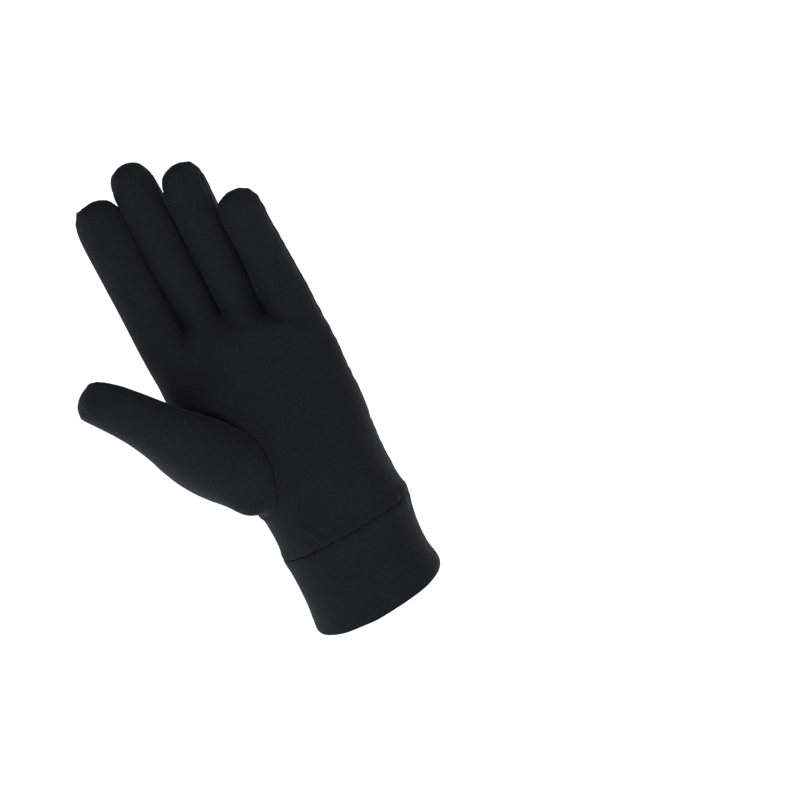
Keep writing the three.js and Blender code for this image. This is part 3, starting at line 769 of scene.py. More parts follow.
def corner_labels(faces, links, cut):
    """Numbers the corners of the faces so that those not parted by a cut edge share a number"""
    order = np.argsort(links.face_edges.ravel(), kind="stable")
    sorted_edges = links.face_edges.ravel()[order]
    same = sorted_edges[1:] == sorted_edges[:-1]
    first, second = order[:-1][same], order[1:][same]
    kept = ~cut[sorted_edges[:-1][same]]
    first, second = first[kept], second[kept]

    def onward(k):
        return k // 4 * 4 + (k % 4 + 1) % 4

    pairs = np.concatenate([np.stack([first, onward(second)], 1), np.stack([onward(first), second], 1)])
    labels = np.arange(faces.size)
    while True:
        low = np.minimum(labels[pairs[:, 0]], labels[pairs[:, 1]])
        after = labels.copy()
        np.minimum.at(after, pairs[:, 0], low)
        np.minimum.at(after, pairs[:, 1], low)
        if np.array_equal(after, labels):
            break
        labels = after
    return np.unique(labels, return_inverse=True)[1].ravel()


def solve_steps(first, second, wanted, weight, count, rounds=500):
    """Values whose steps from first to second come closest to the wanted steps"""
    def laplace(values):
        step = weight[:, None] * (values[second] - values[first])
        return gather(second, step, count) - gather(first, step, count)

    step = weight[:, None] * wanted
    right = gather(second, step, count) - gather(first, step, count)
    scale = np.bincount(first, weight, count) + np.bincount(second, weight, count)
    scale = scale[:, None]
    values = np.zeros_like(right)
    rest = right
    eased = rest / scale
    heading = eased
    energy = (rest * eased).sum(0)
    for _ in range(rounds):
        pushed = laplace(heading)
        share = energy / np.maximum((heading * pushed).sum(0), 1e-300)
        values = values + share * heading
        rest = rest - share * pushed
        eased = rest / scale
        fresh = (rest * eased).sum(0)
        heading = eased + fresh / np.maximum(energy, 1e-300) * heading
        energy = fresh
        if energy.max() < 1e-16:
            break
    return values


def knit_map(points, faces, pieces, links, cut, thumb_axis):
    """Lays the knit flat, piece by piece: how far each face corner lies along the rows and up the columns"""
    uv = np.zeros((len(faces), 4, 2))
    corners = points[faces]
    normals = unit_rows(np.cross(corners[:, 2] - corners[:, 0], corners[:, 3] - corners[:, 1]))
    steps = np.roll(corners, -1, axis=1) - corners
    all_labels = corner_labels(faces, links, cut).reshape(-1, 4)
    for piece in np.unique(pieces):
        chosen = pieces == piece
        normal = normals[chosen]
        if str(piece).startswith("fourchette"):
            along = np.array((0.0, 1.0, 0.0)) - normal * normal[:, 1:2]
            sure = np.ones(len(normal))
        else:
            axis = thumb_axis if piece == "thumb" else np.array((0.0, 0.0, 1.0))
            along = np.cross(axis, normal)
            sure = 0.02 + (along ** 2).sum(1)
        along = unit_rows(along)
        up = np.cross(normal, along)
        labels = np.unique(all_labels[chosen], return_inverse=True)[1].reshape(-1, 4)
        wanted = np.stack([(steps[chosen] * way[:, None]).sum(2) for way in (along, up)], 2).reshape(-1, 2)
        second = np.roll(labels, -1, axis=1).ravel()
        values = solve_steps(labels.ravel(), second, wanted, np.repeat(sure, 4), labels.max() + 1)
        values -= values.min(0)
        uv[chosen] = values[labels]
    return uv


def finer_map(uv):
    """Corner values after one subdivision of the faces"""
    middle = uv.mean(1)
    return np.stack([
        np.stack([uv[:, i], (uv[:, i] + uv[:, (i + 1) % 4]) / 2, middle, (uv[:, i - 1] + uv[:, i]) / 2], 1)
        for i in range(4)
    ], 1).reshape(-1, 4, 2)


def nearest(points, line):
    """Distance from each point to a line's nearest point, and that point's number"""
    tree = KDTree(len(line))
    for i, place in enumerate(line):
        tree.insert(place, i)
    tree.balance()
    found = [tree.find(place) for place in points]
    return np.array([f[2] for f in found]), np.array([f[1] for f in found])


def noise_at(points, reach, offset):
    """Smooth noise of about one unit, whose lumps are one reach apart"""
    shift = Vector((offset, offset * 1.7, offset * 0.6))
    return np.array([noise.noise(Vector(place) + shift) for place in points / reach])


def places_along(lines, apart=0.02):
    """Where each point lies along these lines, laid end to end and a little apart"""
    places = []
    start = 0.0
    for line in lines:
        steps = np.linalg.norm(np.diff(line, axis=0), axis=1)
        places.append(start + np.concatenate([[0], np.cumsum(steps)]))
        start = places[-1][-1] + apart
    return np.concatenate(places)


def unevenness(points, lumps):
    """How far the cloth stands out with its lumps"""
    return sum(MILLIMETRE * row["height"] * noise_at(points, row["size"], row["start"]) for row in lumps)


def wrist_puff(points, distance):
    """How far the cloth beside the wrist seam stands out at one side and draws in at the other"""
    outward = points[:, 0] / np.abs(points[:, 0]).max()
    lift = np.zeros(len(points))
    for row in WRIST_PUFFS:
        share = np.clip(row["side"] * outward * WRIST_PUFF_SPREAD, 0, 1) ** 2
        lift += MILLIMETRE * row["height"] * share * bell(distance - row["away"], row["reach"])
    return lift


def seam_relief(number, look, points, seams):
    """How far the cloth stands out beside one kind of seam, how dark its groove is painted (dark joint and
    painted shade), and how far it tucks in
    """
    mm = MILLIMETRE
    lines = [points[seam["points"]] for seam in seams if seam["kind"] == look["kind"]]
    distance, index = nearest(points, np.concatenate(lines))
    along = places_along(lines)[index] / (look["pitch"] * mm)
    ripple = np.array([noise.noise(Vector((place, number * SEAM_RIPPLE["apart"], 0.4))) for place in along])
    groove = bell(distance, look["width"] * mm)
    puff = bell(distance - look["puff_reach"] * mm, look["puff_reach"] * 0.6 * mm)
    lift = mm * (look["puff"] * puff - look["groove"] * groove * (1 + SEAM_RIPPLE["groove"] * ripple))
    lift += mm * SEAM_RIPPLE["pucker"] * look["pucker"] * ripple * bell(distance, look["reach"] * mm)
    if look["kind"] == "wrist":
        lift += wrist_puff(points, distance)
    # Painted dark along the groove: the seam's dark joint and painted shade in the groove
    dark = look["dark"] * groove * np.clip(1 + SEAM_RIPPLE["dark"] * ripple, 0.1, 1)
    return lift, dark, mm * look["tuck"] * bell(distance, 0.5 * mm)


def cloth_relief(sizes, cage, points, seams):
    """How far the cloth stands out from its smooth form, how dark its seams are, the shade painted between
    the fingers and in the hollow above the thumb, and how far its edges tuck in
    """
    mm = MILLIMETRE
    lift = unevenness(points, HAND_LUMPS)
    closeness = np.zeros(len(points))
    tuck = np.zeros(len(points))
    for number, look in enumerate(SEAM_LOOKS):
        rise, dark, pull = seam_relief(number, look, points, seams)
        lift += rise
        closeness = np.maximum(closeness, dark)
        tuck = np.maximum(tuck, pull)
    # Painted shade between the fingers, wider and darker towards the crotch; the crotch's swell below is
    # real form
    gaps = [points[seam["points"]] for seam in seams if seam["kind"] == "gap"]
    for number, line in enumerate(gaps):
        distance, index = nearest(points, line)
        down = index / (len(line) - 1)
        reaches = [column(GAP_SHADES, at, "reach") for at in np.linspace(0, 1, len(line))]
        dark = np.interp(down, [row["at"] for row in GAP_SHADES], [row["dark"] for row in GAP_SHADES])
        closeness = np.maximum(closeness, dark * bell(distance, mm * np.array(reaches)[index]))
        swell = CROTCH_SWELLS[number // 2] * bell(distance, SWELL_PLACE["across"])
        lift += mm * swell * bell(down - SWELL_PLACE["down"], SWELL_PLACE["reach"])
    # Painted shadow in the hollow above the thumb
    hollow = palm_point(sizes, HOLLOW_SHADE["angle"], HOLLOW_SHADE["at"])
    shade = bell(np.linalg.norm(points - hollow, axis=1), HOLLOW_SHADE["reach"])
    closeness = np.maximum(closeness, HOLLOW_SHADE["dark"] * shade)
    for ear in SEAM_EARS:
        distance = np.linalg.norm(points - points[cage.ears[ear["place"]]], axis=1)
        lift += mm * ear["height"] * bell(distance, ear["reach"] * mm)
    for fold in FOLDS:
        lift += fold_lift(sizes, fold, points)
    return lift, closeness, tuck


def thumb_slope(points, normals, seams):
    """How far the cloth is drawn out beside the thumb's seam, along the seam's own normal"""
    ids = next(seam["points"] for seam in seams if seam["kind"] == "thumb")
    distance, index = nearest(points, points[ids])
    upward = normals[ids][index]
    facing = np.clip(0.3 - 1.3 * upward[:, 1], 0, 1)
    height = THUMB_SLOPE["height"] * MILLIMETRE * facing * bell(distance, THUMB_SLOPE["reach"] * MILLIMETRE)
    return upward * height[:, None]


def fold_lift(sizes, fold, points):
    """A soft valley along a line of places, with a low ridge at each side"""
    angles, ats = np.array(fold["places"], float).T
    numbers = np.arange(len(angles))
    shares = np.linspace(0, len(angles) - 1, FOLD_STEPS)
    places = zip(np.interp(shares, numbers, angles), np.interp(shares, numbers, ats))
    line = np.array([palm_point(sizes, angle, at) for angle, at in places])
    distance, index = nearest(points, line)
    fade = np.sin(np.pi * np.clip((index + 0.5) / len(line), 0, 1)) ** 0.6
    width = fold["width"] * MILLIMETRE
    valley = bell(distance, width) - 0.55 * bell(distance - 2.1 * width, width)
    return -fold["depth"] * MILLIMETRE * valley * fade


def cut_edges(pieces, links, seams):
    """Which edges the knit is cut at: those of seams and those between two pieces"""
    kinds = np.repeat(np.unique(pieces, return_inverse=True)[1], 4)
    lowest = np.full(len(links.edges), kinds.max())
    highest = np.zeros(len(links.edges), int)
    np.minimum.at(lowest, links.face_edges.ravel(), kinds)
    np.maximum.at(highest, links.face_edges.ravel(), kinds)
    cut = lowest != highest
    for seam in seams:
        if seam["kind"] != "gap":
            cut[links.find(*line_steps(seam["points"], seam["closed"]))] = True
    return cut


class Surface:
    """The glove's cloth above the wrist seam as one fine surface, ready to be cut into its pieces"""

    def __init__(self, sizes):
        cage = Cage(sizes)
        faces = np.array(cage.faces)
        links = Links(faces, len(cage.points))
        points = fit_cage(np.array(cage.points), faces, links)
        pieces = np.array(cage.pieces)
        seams = [dict(seam) for seam in cage.seams]
        for level in range(sizes.refinements):
            for seam in seams:
                seam["points"] = finer_line(seam["points"], seam["closed"], links, len(faces))
            points, faces = subdivide(points, faces, links)
            pieces = np.repeat(pieces, 4)
            links = Links(faces, len(points))
            if level == COARSE_LEVEL:
                self.coarse_faces = faces
                self.coarse_pieces = pieces
                smooth = limit_points(points, faces, links)
                cut = cut_edges(pieces, links, seams)
                axis = cage.thumb_middles[-2] - cage.thumb_middles[2]
                uv = knit_map(smooth, faces, pieces, links, cut, axis / np.linalg.norm(axis))
            elif level > COARSE_LEVEL:
                uv = finer_map(uv)
        smooth = limit_points(points, faces, links)
        normals = point_normals(smooth, faces)
        lift, self.closeness, self.tuck = cloth_relief(sizes, cage, smooth, seams)
        self.points = smooth + normals * lift[:, None] + thumb_slope(smooth, normals, seams)
        self.smooth = smooth
        self.normals = normals
        self.faces = faces
        self.pieces = pieces
        self.seams = seams
        self.uv = uv


MADE = {}


def glove_surface():
    """The surface for the sizes as they are, made once"""
    sizes = bpy.context.scene.glove_sizes
    values = [getattr(sizes, name) for name in GloveSizes.__annotations__]
    key = repr([tuple(value) if hasattr(value, "__len__") else value for value in values])
    if key not in MADE:
        MADE[key] = Surface(sizes)
    return MADE[key]


def put(name, data):
    """A new object in the scene"""
    piece = bpy.data.objects.new(name, data)
    bpy.context.scene.collection.objects.link(piece)
    return piece


def new_piece(name, points, faces, uv, closeness, material):
    """A mesh object at the origin, with the knit's map and the dark of its seams and its painted shade"""
    mesh = bpy.data.meshes.new(name)
    mesh.from_pydata(points.tolist(), [], faces)
    layer = mesh.uv_layers.new(name="knit")
    layer.data.foreach_set("uv", np.asarray(uv, np.float32).ravel())
    attribute = mesh.attributes.new("seam_shade", "FLOAT", "POINT")
    attribute.data.foreach_set("value", np.asarray(closeness, np.float32))
    mesh.materials.append(material)
    mesh.shade_smooth()
    mesh.update()
    return put(name, mesh)


def free_edges(faces):
    """The steps from point to point along the edges that only one face has"""
    steps = set(zip(faces.ravel().tolist(), np.roll(faces, -1, axis=1).ravel().tolist()))
    return sorted((a, b) for a, b in steps if (b, a) not in steps)


def cut_piece(name, material):
    """One cloth piece: its outer side, its inner side one thickness below, and its cut edges"""
    surface = glove_surface()
    thickness = bpy.context.scene.glove_sizes.cloth_thickness
    outer = surface.faces[surface.pieces == name]
    inner = surface.coarse_faces[surface.coarse_pieces == name]
    following = dict(free_edges(outer))
    points = surface.points.copy()
    pull = np.zeros_like(points)
    for a, b in following.items():
        step = surface.points[b] - surface.points[a]
        step = step / max(np.linalg.norm(step), 1e-12)
        pull[a] += step
        pull[b] += step
    rim = np.array(sorted(following))
    inward = unit_rows(np.cross(surface.normals[rim], pull[rim]))
    tuck = surface.tuck[rim][:, None]
    points[rim] += inward * tuck * CUT_EDGE["inward"] - surface.normals[rim] * tuck

    used = np.unique(outer)
    used_inner = np.unique(inner)
    place = np.full(len(points), -1)
    place[used] = np.arange(len(used))
    inner_place = np.full(len(points), -1)
    inner_place[used_inner] = len(used) + np.arange(len(used_inner))
    inner_points = surface.smooth[used_inner] - surface.normals[used_inner] * thickness
    on_rim = np.isin(used_inner, rim)
    edge = used_inner[on_rim]
    inner_points[on_rim] = points[edge] - surface.normals[edge] * thickness * CUT_EDGE["thickness"]

    corner_uv = surface.uv[surface.pieces == name].reshape(-1, 2).tolist()
    uv_of = dict(zip(outer.ravel().tolist(), corner_uv))
    faces = place[outer].tolist()
    for face in inner[:, ::-1]:
        faces.append(inner_place[face].tolist())
        corner_uv += [uv_of[v] for v in face.tolist()]
    for a, b in free_edges(inner):
        line = [a]
        while line[-1] != b:
            line.append(following[line[-1]])
        line.reverse()
        faces.append([*place[line].tolist(), int(inner_place[a]), int(inner_place[b])])
        corner_uv += [uv_of[v] for v in (*line, a, b)]
    # The inner side of each piece gets full painted shade
    shade = np.concatenate([surface.closeness[used], np.ones(len(used_inner))])
    all_points = np.concatenate([points[used], inner_points])
    piece = new_piece(name + "_cloth", all_points, faces, corner_uv, shade, material)
    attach(piece, BODY)
    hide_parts(name)
    return piece


def wrist_point(sizes, angle, at, inset):
    """A point of the cuff at an angle round it, a share of its height and a depth below its outer side"""
    wrist = PALM_SECTIONS[0]
    right = math.cos(angle)
    back = math.sin(angle)
    side = "left" if right < 0 else "right"
    face = "front" if back < 0 else "back"
    width = -wrist["radial"] if right < 0 else wrist["ulnar"]
    half_width = sizes.palm_width * width * column(CUFF_SECTIONS, at, side) - inset
    half_depth = sizes.palm_depth * wrist[face] * column(CUFF_SECTIONS, at, face) - inset
    x = half_width * power(right, wrist["square"])
    y = half_depth * power(back, wrist["square"])
    return x, y, mix(rim_height(x, abs(back)), wrist_seam_height(sizes, x, abs(back)), at)


def cuff_outline(thickness):
    """The cuff's profile from the seam down the outer side, round the folded rim and up inside"""
    outline = [(at, 0.0) for rows in CUFF_OUTER_ROWS for at in np.linspace(*rows)]
    radius = thickness / 2
    for a in np.linspace(0, math.pi, CUFF_FOLD["rows"]):
        at = CUFF_FOLD["low"] + CUFF_FOLD["high"] * (1 - math.sin(a))
        outline.append((at, radius - radius * math.cos(a)))
    return np.array(outline + [(at, thickness) for at in CUFF_INNER_ROWS])


def circle(angles):
    return np.stack([np.cos(angles), np.sin(angles), np.zeros(len(angles))], 1)


def cuff_relief(sizes, points, outline, angles, perimeter):
    """Where the cuff's uneven cloth lies, from its smooth points, how dark its seam is (dark stitch gaps and
    painted shade), and the painted shade under its rim and on its inner side
    """
    mm = MILLIMETRE
    look = CUFF_LOOK
    rows = len(outline)
    at, inset = np.tile(outline, (len(angles), 1)).T
    below = (1 - at) * sizes.cuff_height
    above_rim = at * sizes.cuff_height
    outward = np.repeat(unit_rows(circle(angles) * np.array((1.0, 1.6, 0.0))), rows, axis=0)
    outer = np.clip(1 - inset / sizes.cuff_thickness * 1.2, 0, 1)
    total = perimeter[-1]
    turn = np.repeat(perimeter[:-1], rows) / total * 2 * math.pi
    loop = circle(turn) * total / (2 * math.pi)
    right_side = np.clip(0.45 + 0.75 * np.cos(np.repeat(angles, rows)), 0.2, 1.2)
    puckers = sum(
        row["height"] * noise_at(loop + np.outer(below, (0, 0, row["drift"])), row["size"], row["start"])
        for row in CUFF_RIPPLES
    )
    spots = np.clip(0.4 + 1.5 * noise_at(loop, look["spot_size"], 21.0), 0.0, 1.0)
    lift = puckers * bell(below, look["ripple_reach"]) * right_side
    lift += look["puff"] * bell(below - look["puff_away"], look["puff_reach"])
    lift -= (look["groove"] + look["spot_groove"] * spots) * bell(below, look["groove_reach"])
    lift = outer * (mm * lift + unevenness(points, CUFF_LUMPS))
    moved = points + outward * lift[:, None]
    wave = noise_at(loop, look["wave_size"], 9.0)
    moved[:, 2] += mm * look["wave"] * wave * bell(above_rim, look["wave_reach"])
    # Painted shade: a thin dark line just above the rim where the fold turns under, and the inner side
    # darker; the seam's dark spots are its gaps between stitches and painted shade
    rim_painted_shade = bell(above_rim - look["rim_line_at"], look["line_reach"])
    seam_dark_and_shade = spots * bell(below, look["line_reach"])
    inside = inset > sizes.cuff_thickness * 0.6
    return moved, np.where(inside, look["inner_painted_shade"], np.maximum(seam_dark_and_shade, rim_painted_shade))


def build_cuff(material):
    """The folded band: closed all round, drawn in at its seam and softly uneven"""
    sizes = bpy.context.scene.glove_sizes
    outline = cuff_outline(sizes.cuff_thickness)
    rows = len(outline)
    angles = np.arange(CUFF_AROUND) * 2 * math.pi / CUFF_AROUND
    ring = np.array([wrist_point(sizes, a, 0.5, 0.0) for a in angles])
    steps = np.linalg.norm(np.roll(ring, -1, axis=0) - ring, axis=1)
    perimeter = np.concatenate([[0], np.cumsum(steps)])
    points = np.array([wrist_point(sizes, a, at, inset) for a in angles for at, inset in outline])
    steps = np.linalg.norm(np.diff(points[:rows], axis=0), axis=1)
    run_down = np.concatenate([[0], np.cumsum([*steps, sizes.cuff_thickness])])
    faces = []
    corner_uv = []
    for k in range(CUFF_AROUND):
        after = (k + 1) % CUFF_AROUND
        left, right = perimeter[k], perimeter[k + 1]
        for i in range(rows):
            low = (i + 1) % rows
            faces.append((k * rows + i, k * rows + low, after * rows + low, after * rows + i))
            up, down = -run_down[i], -run_down[i + 1]
            corner_uv += [(left, up), (left, down), (right, down), (right, up)]
    points, shade = cuff_relief(sizes, points, outline, angles, perimeter)
    cuff = new_piece("cuff_cloth", points, faces, corner_uv, shade, material)
    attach(cuff, BODY)
    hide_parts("cuff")
    return cuff


def set_inputs(tree, node, inputs):
    """Sets a node's inputs to values, or links them to other nodes' outputs"""
    for socket, value in inputs.items():
        if isinstance(value, bpy.types.NodeSocket):
            tree.links.new(value, node.inputs[socket])
        else:
            node.inputs[socket].default_value = value


def add_node(tree, kind, inputs=None, **settings):
    """A node of this kind with its settings and inputs"""
    node = tree.nodes.new(kind)
    for name, value in settings.items():
        setattr(node, name, value)
    set_inputs(tree, node, inputs or {})
    return node


def math_node(tree, operation, *values, clamp=False):
    """The result of a math node on outputs or numbers"""
    inputs = dict(enumerate(values))
    return add_node(tree, "ShaderNodeMath", inputs, operation=operation, use_clamp=clamp).outputs[0]


def weighted_sum(tree, *parts):
    """The sum of outputs, each times its weight"""
    terms = [math_node(tree, "MULTIPLY", value, weight) for value, weight in parts]
    total = terms[0]
    for term in terms[1:]:
        total = math_node(tree, "ADD", total, term)
    return total


def scaled(tree, vector, scale):
    return add_node(tree, "ShaderNodeMapping", {"Vector": vector, "Scale": scale}).outputs["Vector"]


def noise_node(tree, vector, scale, detail, roughness=0.5):
    """Noise whose scale is one number, or one for each direction"""
    if isinstance(scale, tuple):
        vector = scaled(tree, vector, scale)
        scale = 1.0
    inputs = {"Vector": vector, "Scale": scale, "Detail": detail, "Roughness": roughness}
    return add_node(tree, "ShaderNodeTexNoise", inputs).outputs["Fac"]


def colour_mix(tree, factor, first, second):
    inputs = {0: factor, 6: first, 7: second}
    return add_node(tree, "ShaderNodeMix", inputs, data_type="RGBA", clamp_factor=True).outputs[2]


def bump_node(tree, height, strength, distance):
    inputs = {"Height": height, "Strength": strength, "Distance": distance}
    return add_node(tree, "ShaderNodeBump", inputs).outputs["Normal"]


def stretch_knit():
    """Fine black jersey: slanted loops in columns, uneven rows, soft fuzz, darker in the seams, with painted
    shade between the fingers, above the thumb, at the cuff's rim and on the inner side
    """
    if "stretch_knit" in bpy.data.materials:
        return bpy.data.materials["stretch_knit"]
    colours = bpy.context.scene.glove_colours
    knit = bpy.context.scene.glove_stitching
    material = bpy.data.materials.new("stretch_knit")
    material.use_nodes = True
    tree = material.node_tree
    tree.nodes.clear()
    calc = partial(math_node, tree)
    cloth = add_node(tree, "ShaderNodeUVMap", uv_map="knit").outputs["UV"]
    place = add_node(tree, "ShaderNodeTexCoord").outputs["Object"]

    cells = scaled(tree, cloth, (1 / knit.wale, 1 / knit.course, 1.0))
    cell = add_node(tree, "ShaderNodeSeparateXYZ", {0: cells}).outputs
    wander = noise_node(tree, cloth, (160, 160, 1), 2.0)
    across = calc("FRACT", calc("ADD", cell["X"], wander))
    aside = calc("ABSOLUTE", calc("SUBTRACT", across, 0.5))
    row = calc("ADD", calc("ADD", cell["Y"], calc("MULTIPLY", aside, 1.3)), wander)
    wave = calc("COSINE", calc("MULTIPLY", row, 2 * math.pi))
    strand = calc("MULTIPLY_ADD", wave, 0.5, 0.5)
    ridge = calc("SINE", calc("MULTIPLY", aside, 2 * math.pi))
    loops = calc("MULTIPLY", calc("MULTIPLY_ADD", strand, 0.7, 0.3), ridge)

    streaks = noise_node(tree, cloth, (110, 1150, 1), 3.0, 0.6)
    flecks = noise_node(tree, cloth, (900, 1250, 1), 3.0, 0.7)
    lumps = noise_node(tree, place, 62.0, 4.0, 0.55)
    fuzz = noise_node(tree, place, 2100.0, 2.0, 0.6)
    seam = add_node(tree, "ShaderNodeAttribute", attribute_name="seam_shade").outputs["Fac"]

    worn = weighted_sum(tree, (streaks, 0.55), (fuzz, 0.45), (lumps, 0.5))
    worn = calc("MULTIPLY", calc("SUBTRACT", worn, 0.5), 1.6, clamp=True)
    deep = calc("MULTIPLY", calc("SUBTRACT", 1.0, loops), 0.45, clamp=True)
    # Seam dark and painted shade mix the yarn towards its shade colour
    shade_and_seam_factor = calc("MULTIPLY", calc("POWER", seam, 1.4), 0.85, clamp=True)
    shade = (*colours.yarn_deep, 1.0)
    colour = colour_mix(tree, worn, (*colours.yarn, 1.0), (*colours.yarn_worn, 1.0))
    colour = colour_mix(tree, shade_and_seam_factor, colour_mix(tree, deep, colour, shade), shade)
    fleck = add_node(tree, "ShaderNodeMapRange", {
        "Value": flecks,
        "From Min": 0.3,
        "From Max": 0.7,
        "To Min": 0.66,
        "To Max": 1.34,
    })
    speckled = add_node(
        tree, "ShaderNodeVectorMath", {0: colour, "Scale": fleck.outputs["Result"]}, operation="SCALE",
    )
    height = weighted_sum(tree, (loops, 0.75), (fuzz, 0.35), (streaks, 0.5))
    shader = add_node(tree, "ShaderNodeBsdfPrincipled", {
        "Base Color": speckled.outputs["Vector"],
        "Normal": bump_node(tree, height, 0.55, 0.00016),
        "Roughness": calc("MULTIPLY_ADD", worn, 0.1, 0.84),
        "Specular IOR Level": 0.05,
        "Sheen Weight": 0.035,
        "Sheen Roughness": 0.35,
        "Sheen Tint": (0.72, 0.86, 1.0, 1.0),
    })
    add_node(tree, "ShaderNodeOutputMaterial", {"Surface": shader.outputs[0]})
    return material


def sewing_thread():
    """Spun thread with a slight gloss"""
    if "sewing_thread" in bpy.data.materials:
        return bpy.data.materials["sewing_thread"]
    colours = bpy.context.scene.glove_colours
    material = bpy.data.materials.new("sewing_thread")
    material.use_nodes = True
    tree = material.node_tree
    place = add_node(tree, "ShaderNodeTexCoord").outputs["Object"]
    spun = noise_node(tree, place, 3800.0, 2.0)
    light = (*[1.6 * part for part in colours.thread], 1.0)
    set_inputs(tree, tree.nodes["Principled BSDF"], {
        "Base Color": colour_mix(tree, spun, (*colours.yarn_deep, 1.0), light),
        "Normal": bump_node(tree, spun, 0.5, 0.00005),
        "Roughness": 0.7,
        "Specular IOR Level": 0.25,
    })
    return material


def number_socket(sockets, name):
    """The socket of this name that holds a number and is in use"""
    return next(s for s in sockets if s.name == name and s.type == "VALUE" and s.enabled)


def stitch_tree(material):
    """Geometry Nodes: lays short threads along a line, square to it and flat on the cloth"""
    tree = bpy.data.node_groups.new("stitches", "GeometryNodeTree")
    for name, kind, value in (
        ("Seam Line", "Geometry", None),
        ("Pitch", "Float", 0.0016),
        ("Length", "Float", 0.001),
        ("Thickness", "Float", 0.0002),
        ("Lean", "Float", 0.35),
        ("Seed", "Int", 1),
    ):
        socket = tree.interface.new_socket(name, in_out="INPUT", socket_type="NodeSocket" + kind)
        if value is not None:
            socket.default_value = value
    tree.interface.new_socket("Stitches", in_out="OUTPUT", socket_type="NodeSocketGeometry")
    given = add_node(tree, "NodeGroupInput").outputs
    curve = add_node(tree, "GeometryNodeMeshToCurve", {"Mesh": given["Seam Line"]})
    along = {"Curve": curve.outputs["Curve"], "Length": given["Pitch"]}
    spots = add_node(tree, "GeometryNodeResampleCurve", along, mode="LENGTH")
    ball = {"Segments": 6, "Rings": 5, "Radius": 0.5}
    thread = add_node(tree, "GeometryNodeMeshUVSphere", ball)
    size = {"X": given["Thickness"], "Y": given["Length"], "Z": given["Thickness"]}
    shape = add_node(tree, "ShaderNodeCombineXYZ", size)

    name = {"Name": "cloth_normal"}
    normal = add_node(tree, "GeometryNodeInputNamedAttribute", name, data_type="FLOAT_VECTOR")
    tangent = add_node(tree, "GeometryNodeInputTangent")
    axes = {"Primary Axis": normal.outputs["Attribute"], "Secondary Axis": tangent.outputs["Tangent"]}
    upright = add_node(tree, "FunctionNodeAxesToRotation", axes, primary_axis="Z", secondary_axis="X")
    lean = add_node(tree, "FunctionNodeRandomValue", {"Seed": given["Seed"]}, data_type="FLOAT")
    tree.links.new(math_node(tree, "MULTIPLY", given["Lean"], -1.0), number_socket(lean.inputs, "Min"))
    tree.links.new(given["Lean"], number_socket(lean.inputs, "Max"))
    about = add_node(tree, "FunctionNodeAxisAngleToRotation", {
        "Axis": (0.0, 0.0, 1.0),
        "Angle": number_socket(lean.outputs, "Value"),
    })
    turns = {"Rotation": upright.outputs[0], "Rotate By": about.outputs[0]}
    turned = add_node(tree, "FunctionNodeRotateRotation", turns, rotation_space="LOCAL")

    placed = add_node(tree, "GeometryNodeInstanceOnPoints", {
        "Points": spots.outputs["Curve"],
        "Instance": thread.outputs["Mesh"],
        "Rotation": turned.outputs[0],
        "Scale": shape.outputs[0],
    })
    real = add_node(tree, "GeometryNodeRealizeInstances", {"Geometry": placed.outputs["Instances"]})
    smooth = add_node(tree, "GeometryNodeSetShadeSmooth", {"Geometry": real.outputs["Geometry"]})
    looks = {"Geometry": smooth.outputs["Geometry"], "Material": material}
    painted = add_node(tree, "GeometryNodeSetMaterial", looks)
    add_node(tree, "NodeGroupOutput", {"Stitches": painted.outputs["Geometry"]})
    return tree


def sew(name, kinds, above, pitch, length, seed):
    """Stitches along all seams of these kinds, made by Geometry Nodes and kept as a plain mesh"""
    surface = glove_surface()
    stitching = bpy.context.scene.glove_stitching
    points = []
    normals = []
    edges = []
    for seam in surface.seams:
        if seam["kind"] not in kinds:
            continue
        ids = seam["points"]
        if seam["closed"]:
            ids = np.append(ids, ids[0])
        start = len(points)
        points += (surface.points[ids] + surface.normals[ids] * above).tolist()
        normals += surface.normals[ids].tolist()
        edges += [(i, i + 1) for i in range(start, len(points) - 1)]
    mesh = bpy.data.meshes.new(name + "_line")
    mesh.from_pydata(points, edges, [])
    attribute = mesh.attributes.new("cloth_normal", "FLOAT_VECTOR", "POINT")
    attribute.data.foreach_set("vector", np.array(normals, np.float32).ravel())
    line = put(name + "_line", mesh)
    modifier = line.modifiers.new("Stitches", "NODES")
    modifier.node_group = bpy.data.node_groups.get("stitches") or stitch_tree(sewing_thread())
    values = {
        "Pitch": stitching.pitch * pitch,
        "Length": stitching.length * length,
        "Thickness": stitching.thickness,
        "Lean": STITCH_LEAN,
        "Seed": seed,
    }
    for item in modifier.node_group.interface.items_tree:
        if item.item_type == "SOCKET" and item.in_out == "INPUT" and item.name in values:
            modifier[item.identifier] = values[item.name]
    graph = bpy.context.evaluated_depsgraph_get()
    made = bpy.data.meshes.new_from_object(line.evaluated_get(graph))
    bpy.data.objects.remove(line)
    made.name = name
    if not made.polygons:
        raise RuntimeError(name + " has no stitches")
    piece = put(name, made)
    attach(piece, BODY)
    return piece


def soft_light(name, place, target, size, watts):
    light = bpy.data.lights.new(name, "AREA")
    light.shape = "DISK"
    light.size = size
    light.energy = watts
    lamp = put(name, light)
    lamp.location = place
    lamp.rotation_euler = (Vector(target) - Vector(place)).to_track_quat("-Z", "Y").to_euler()


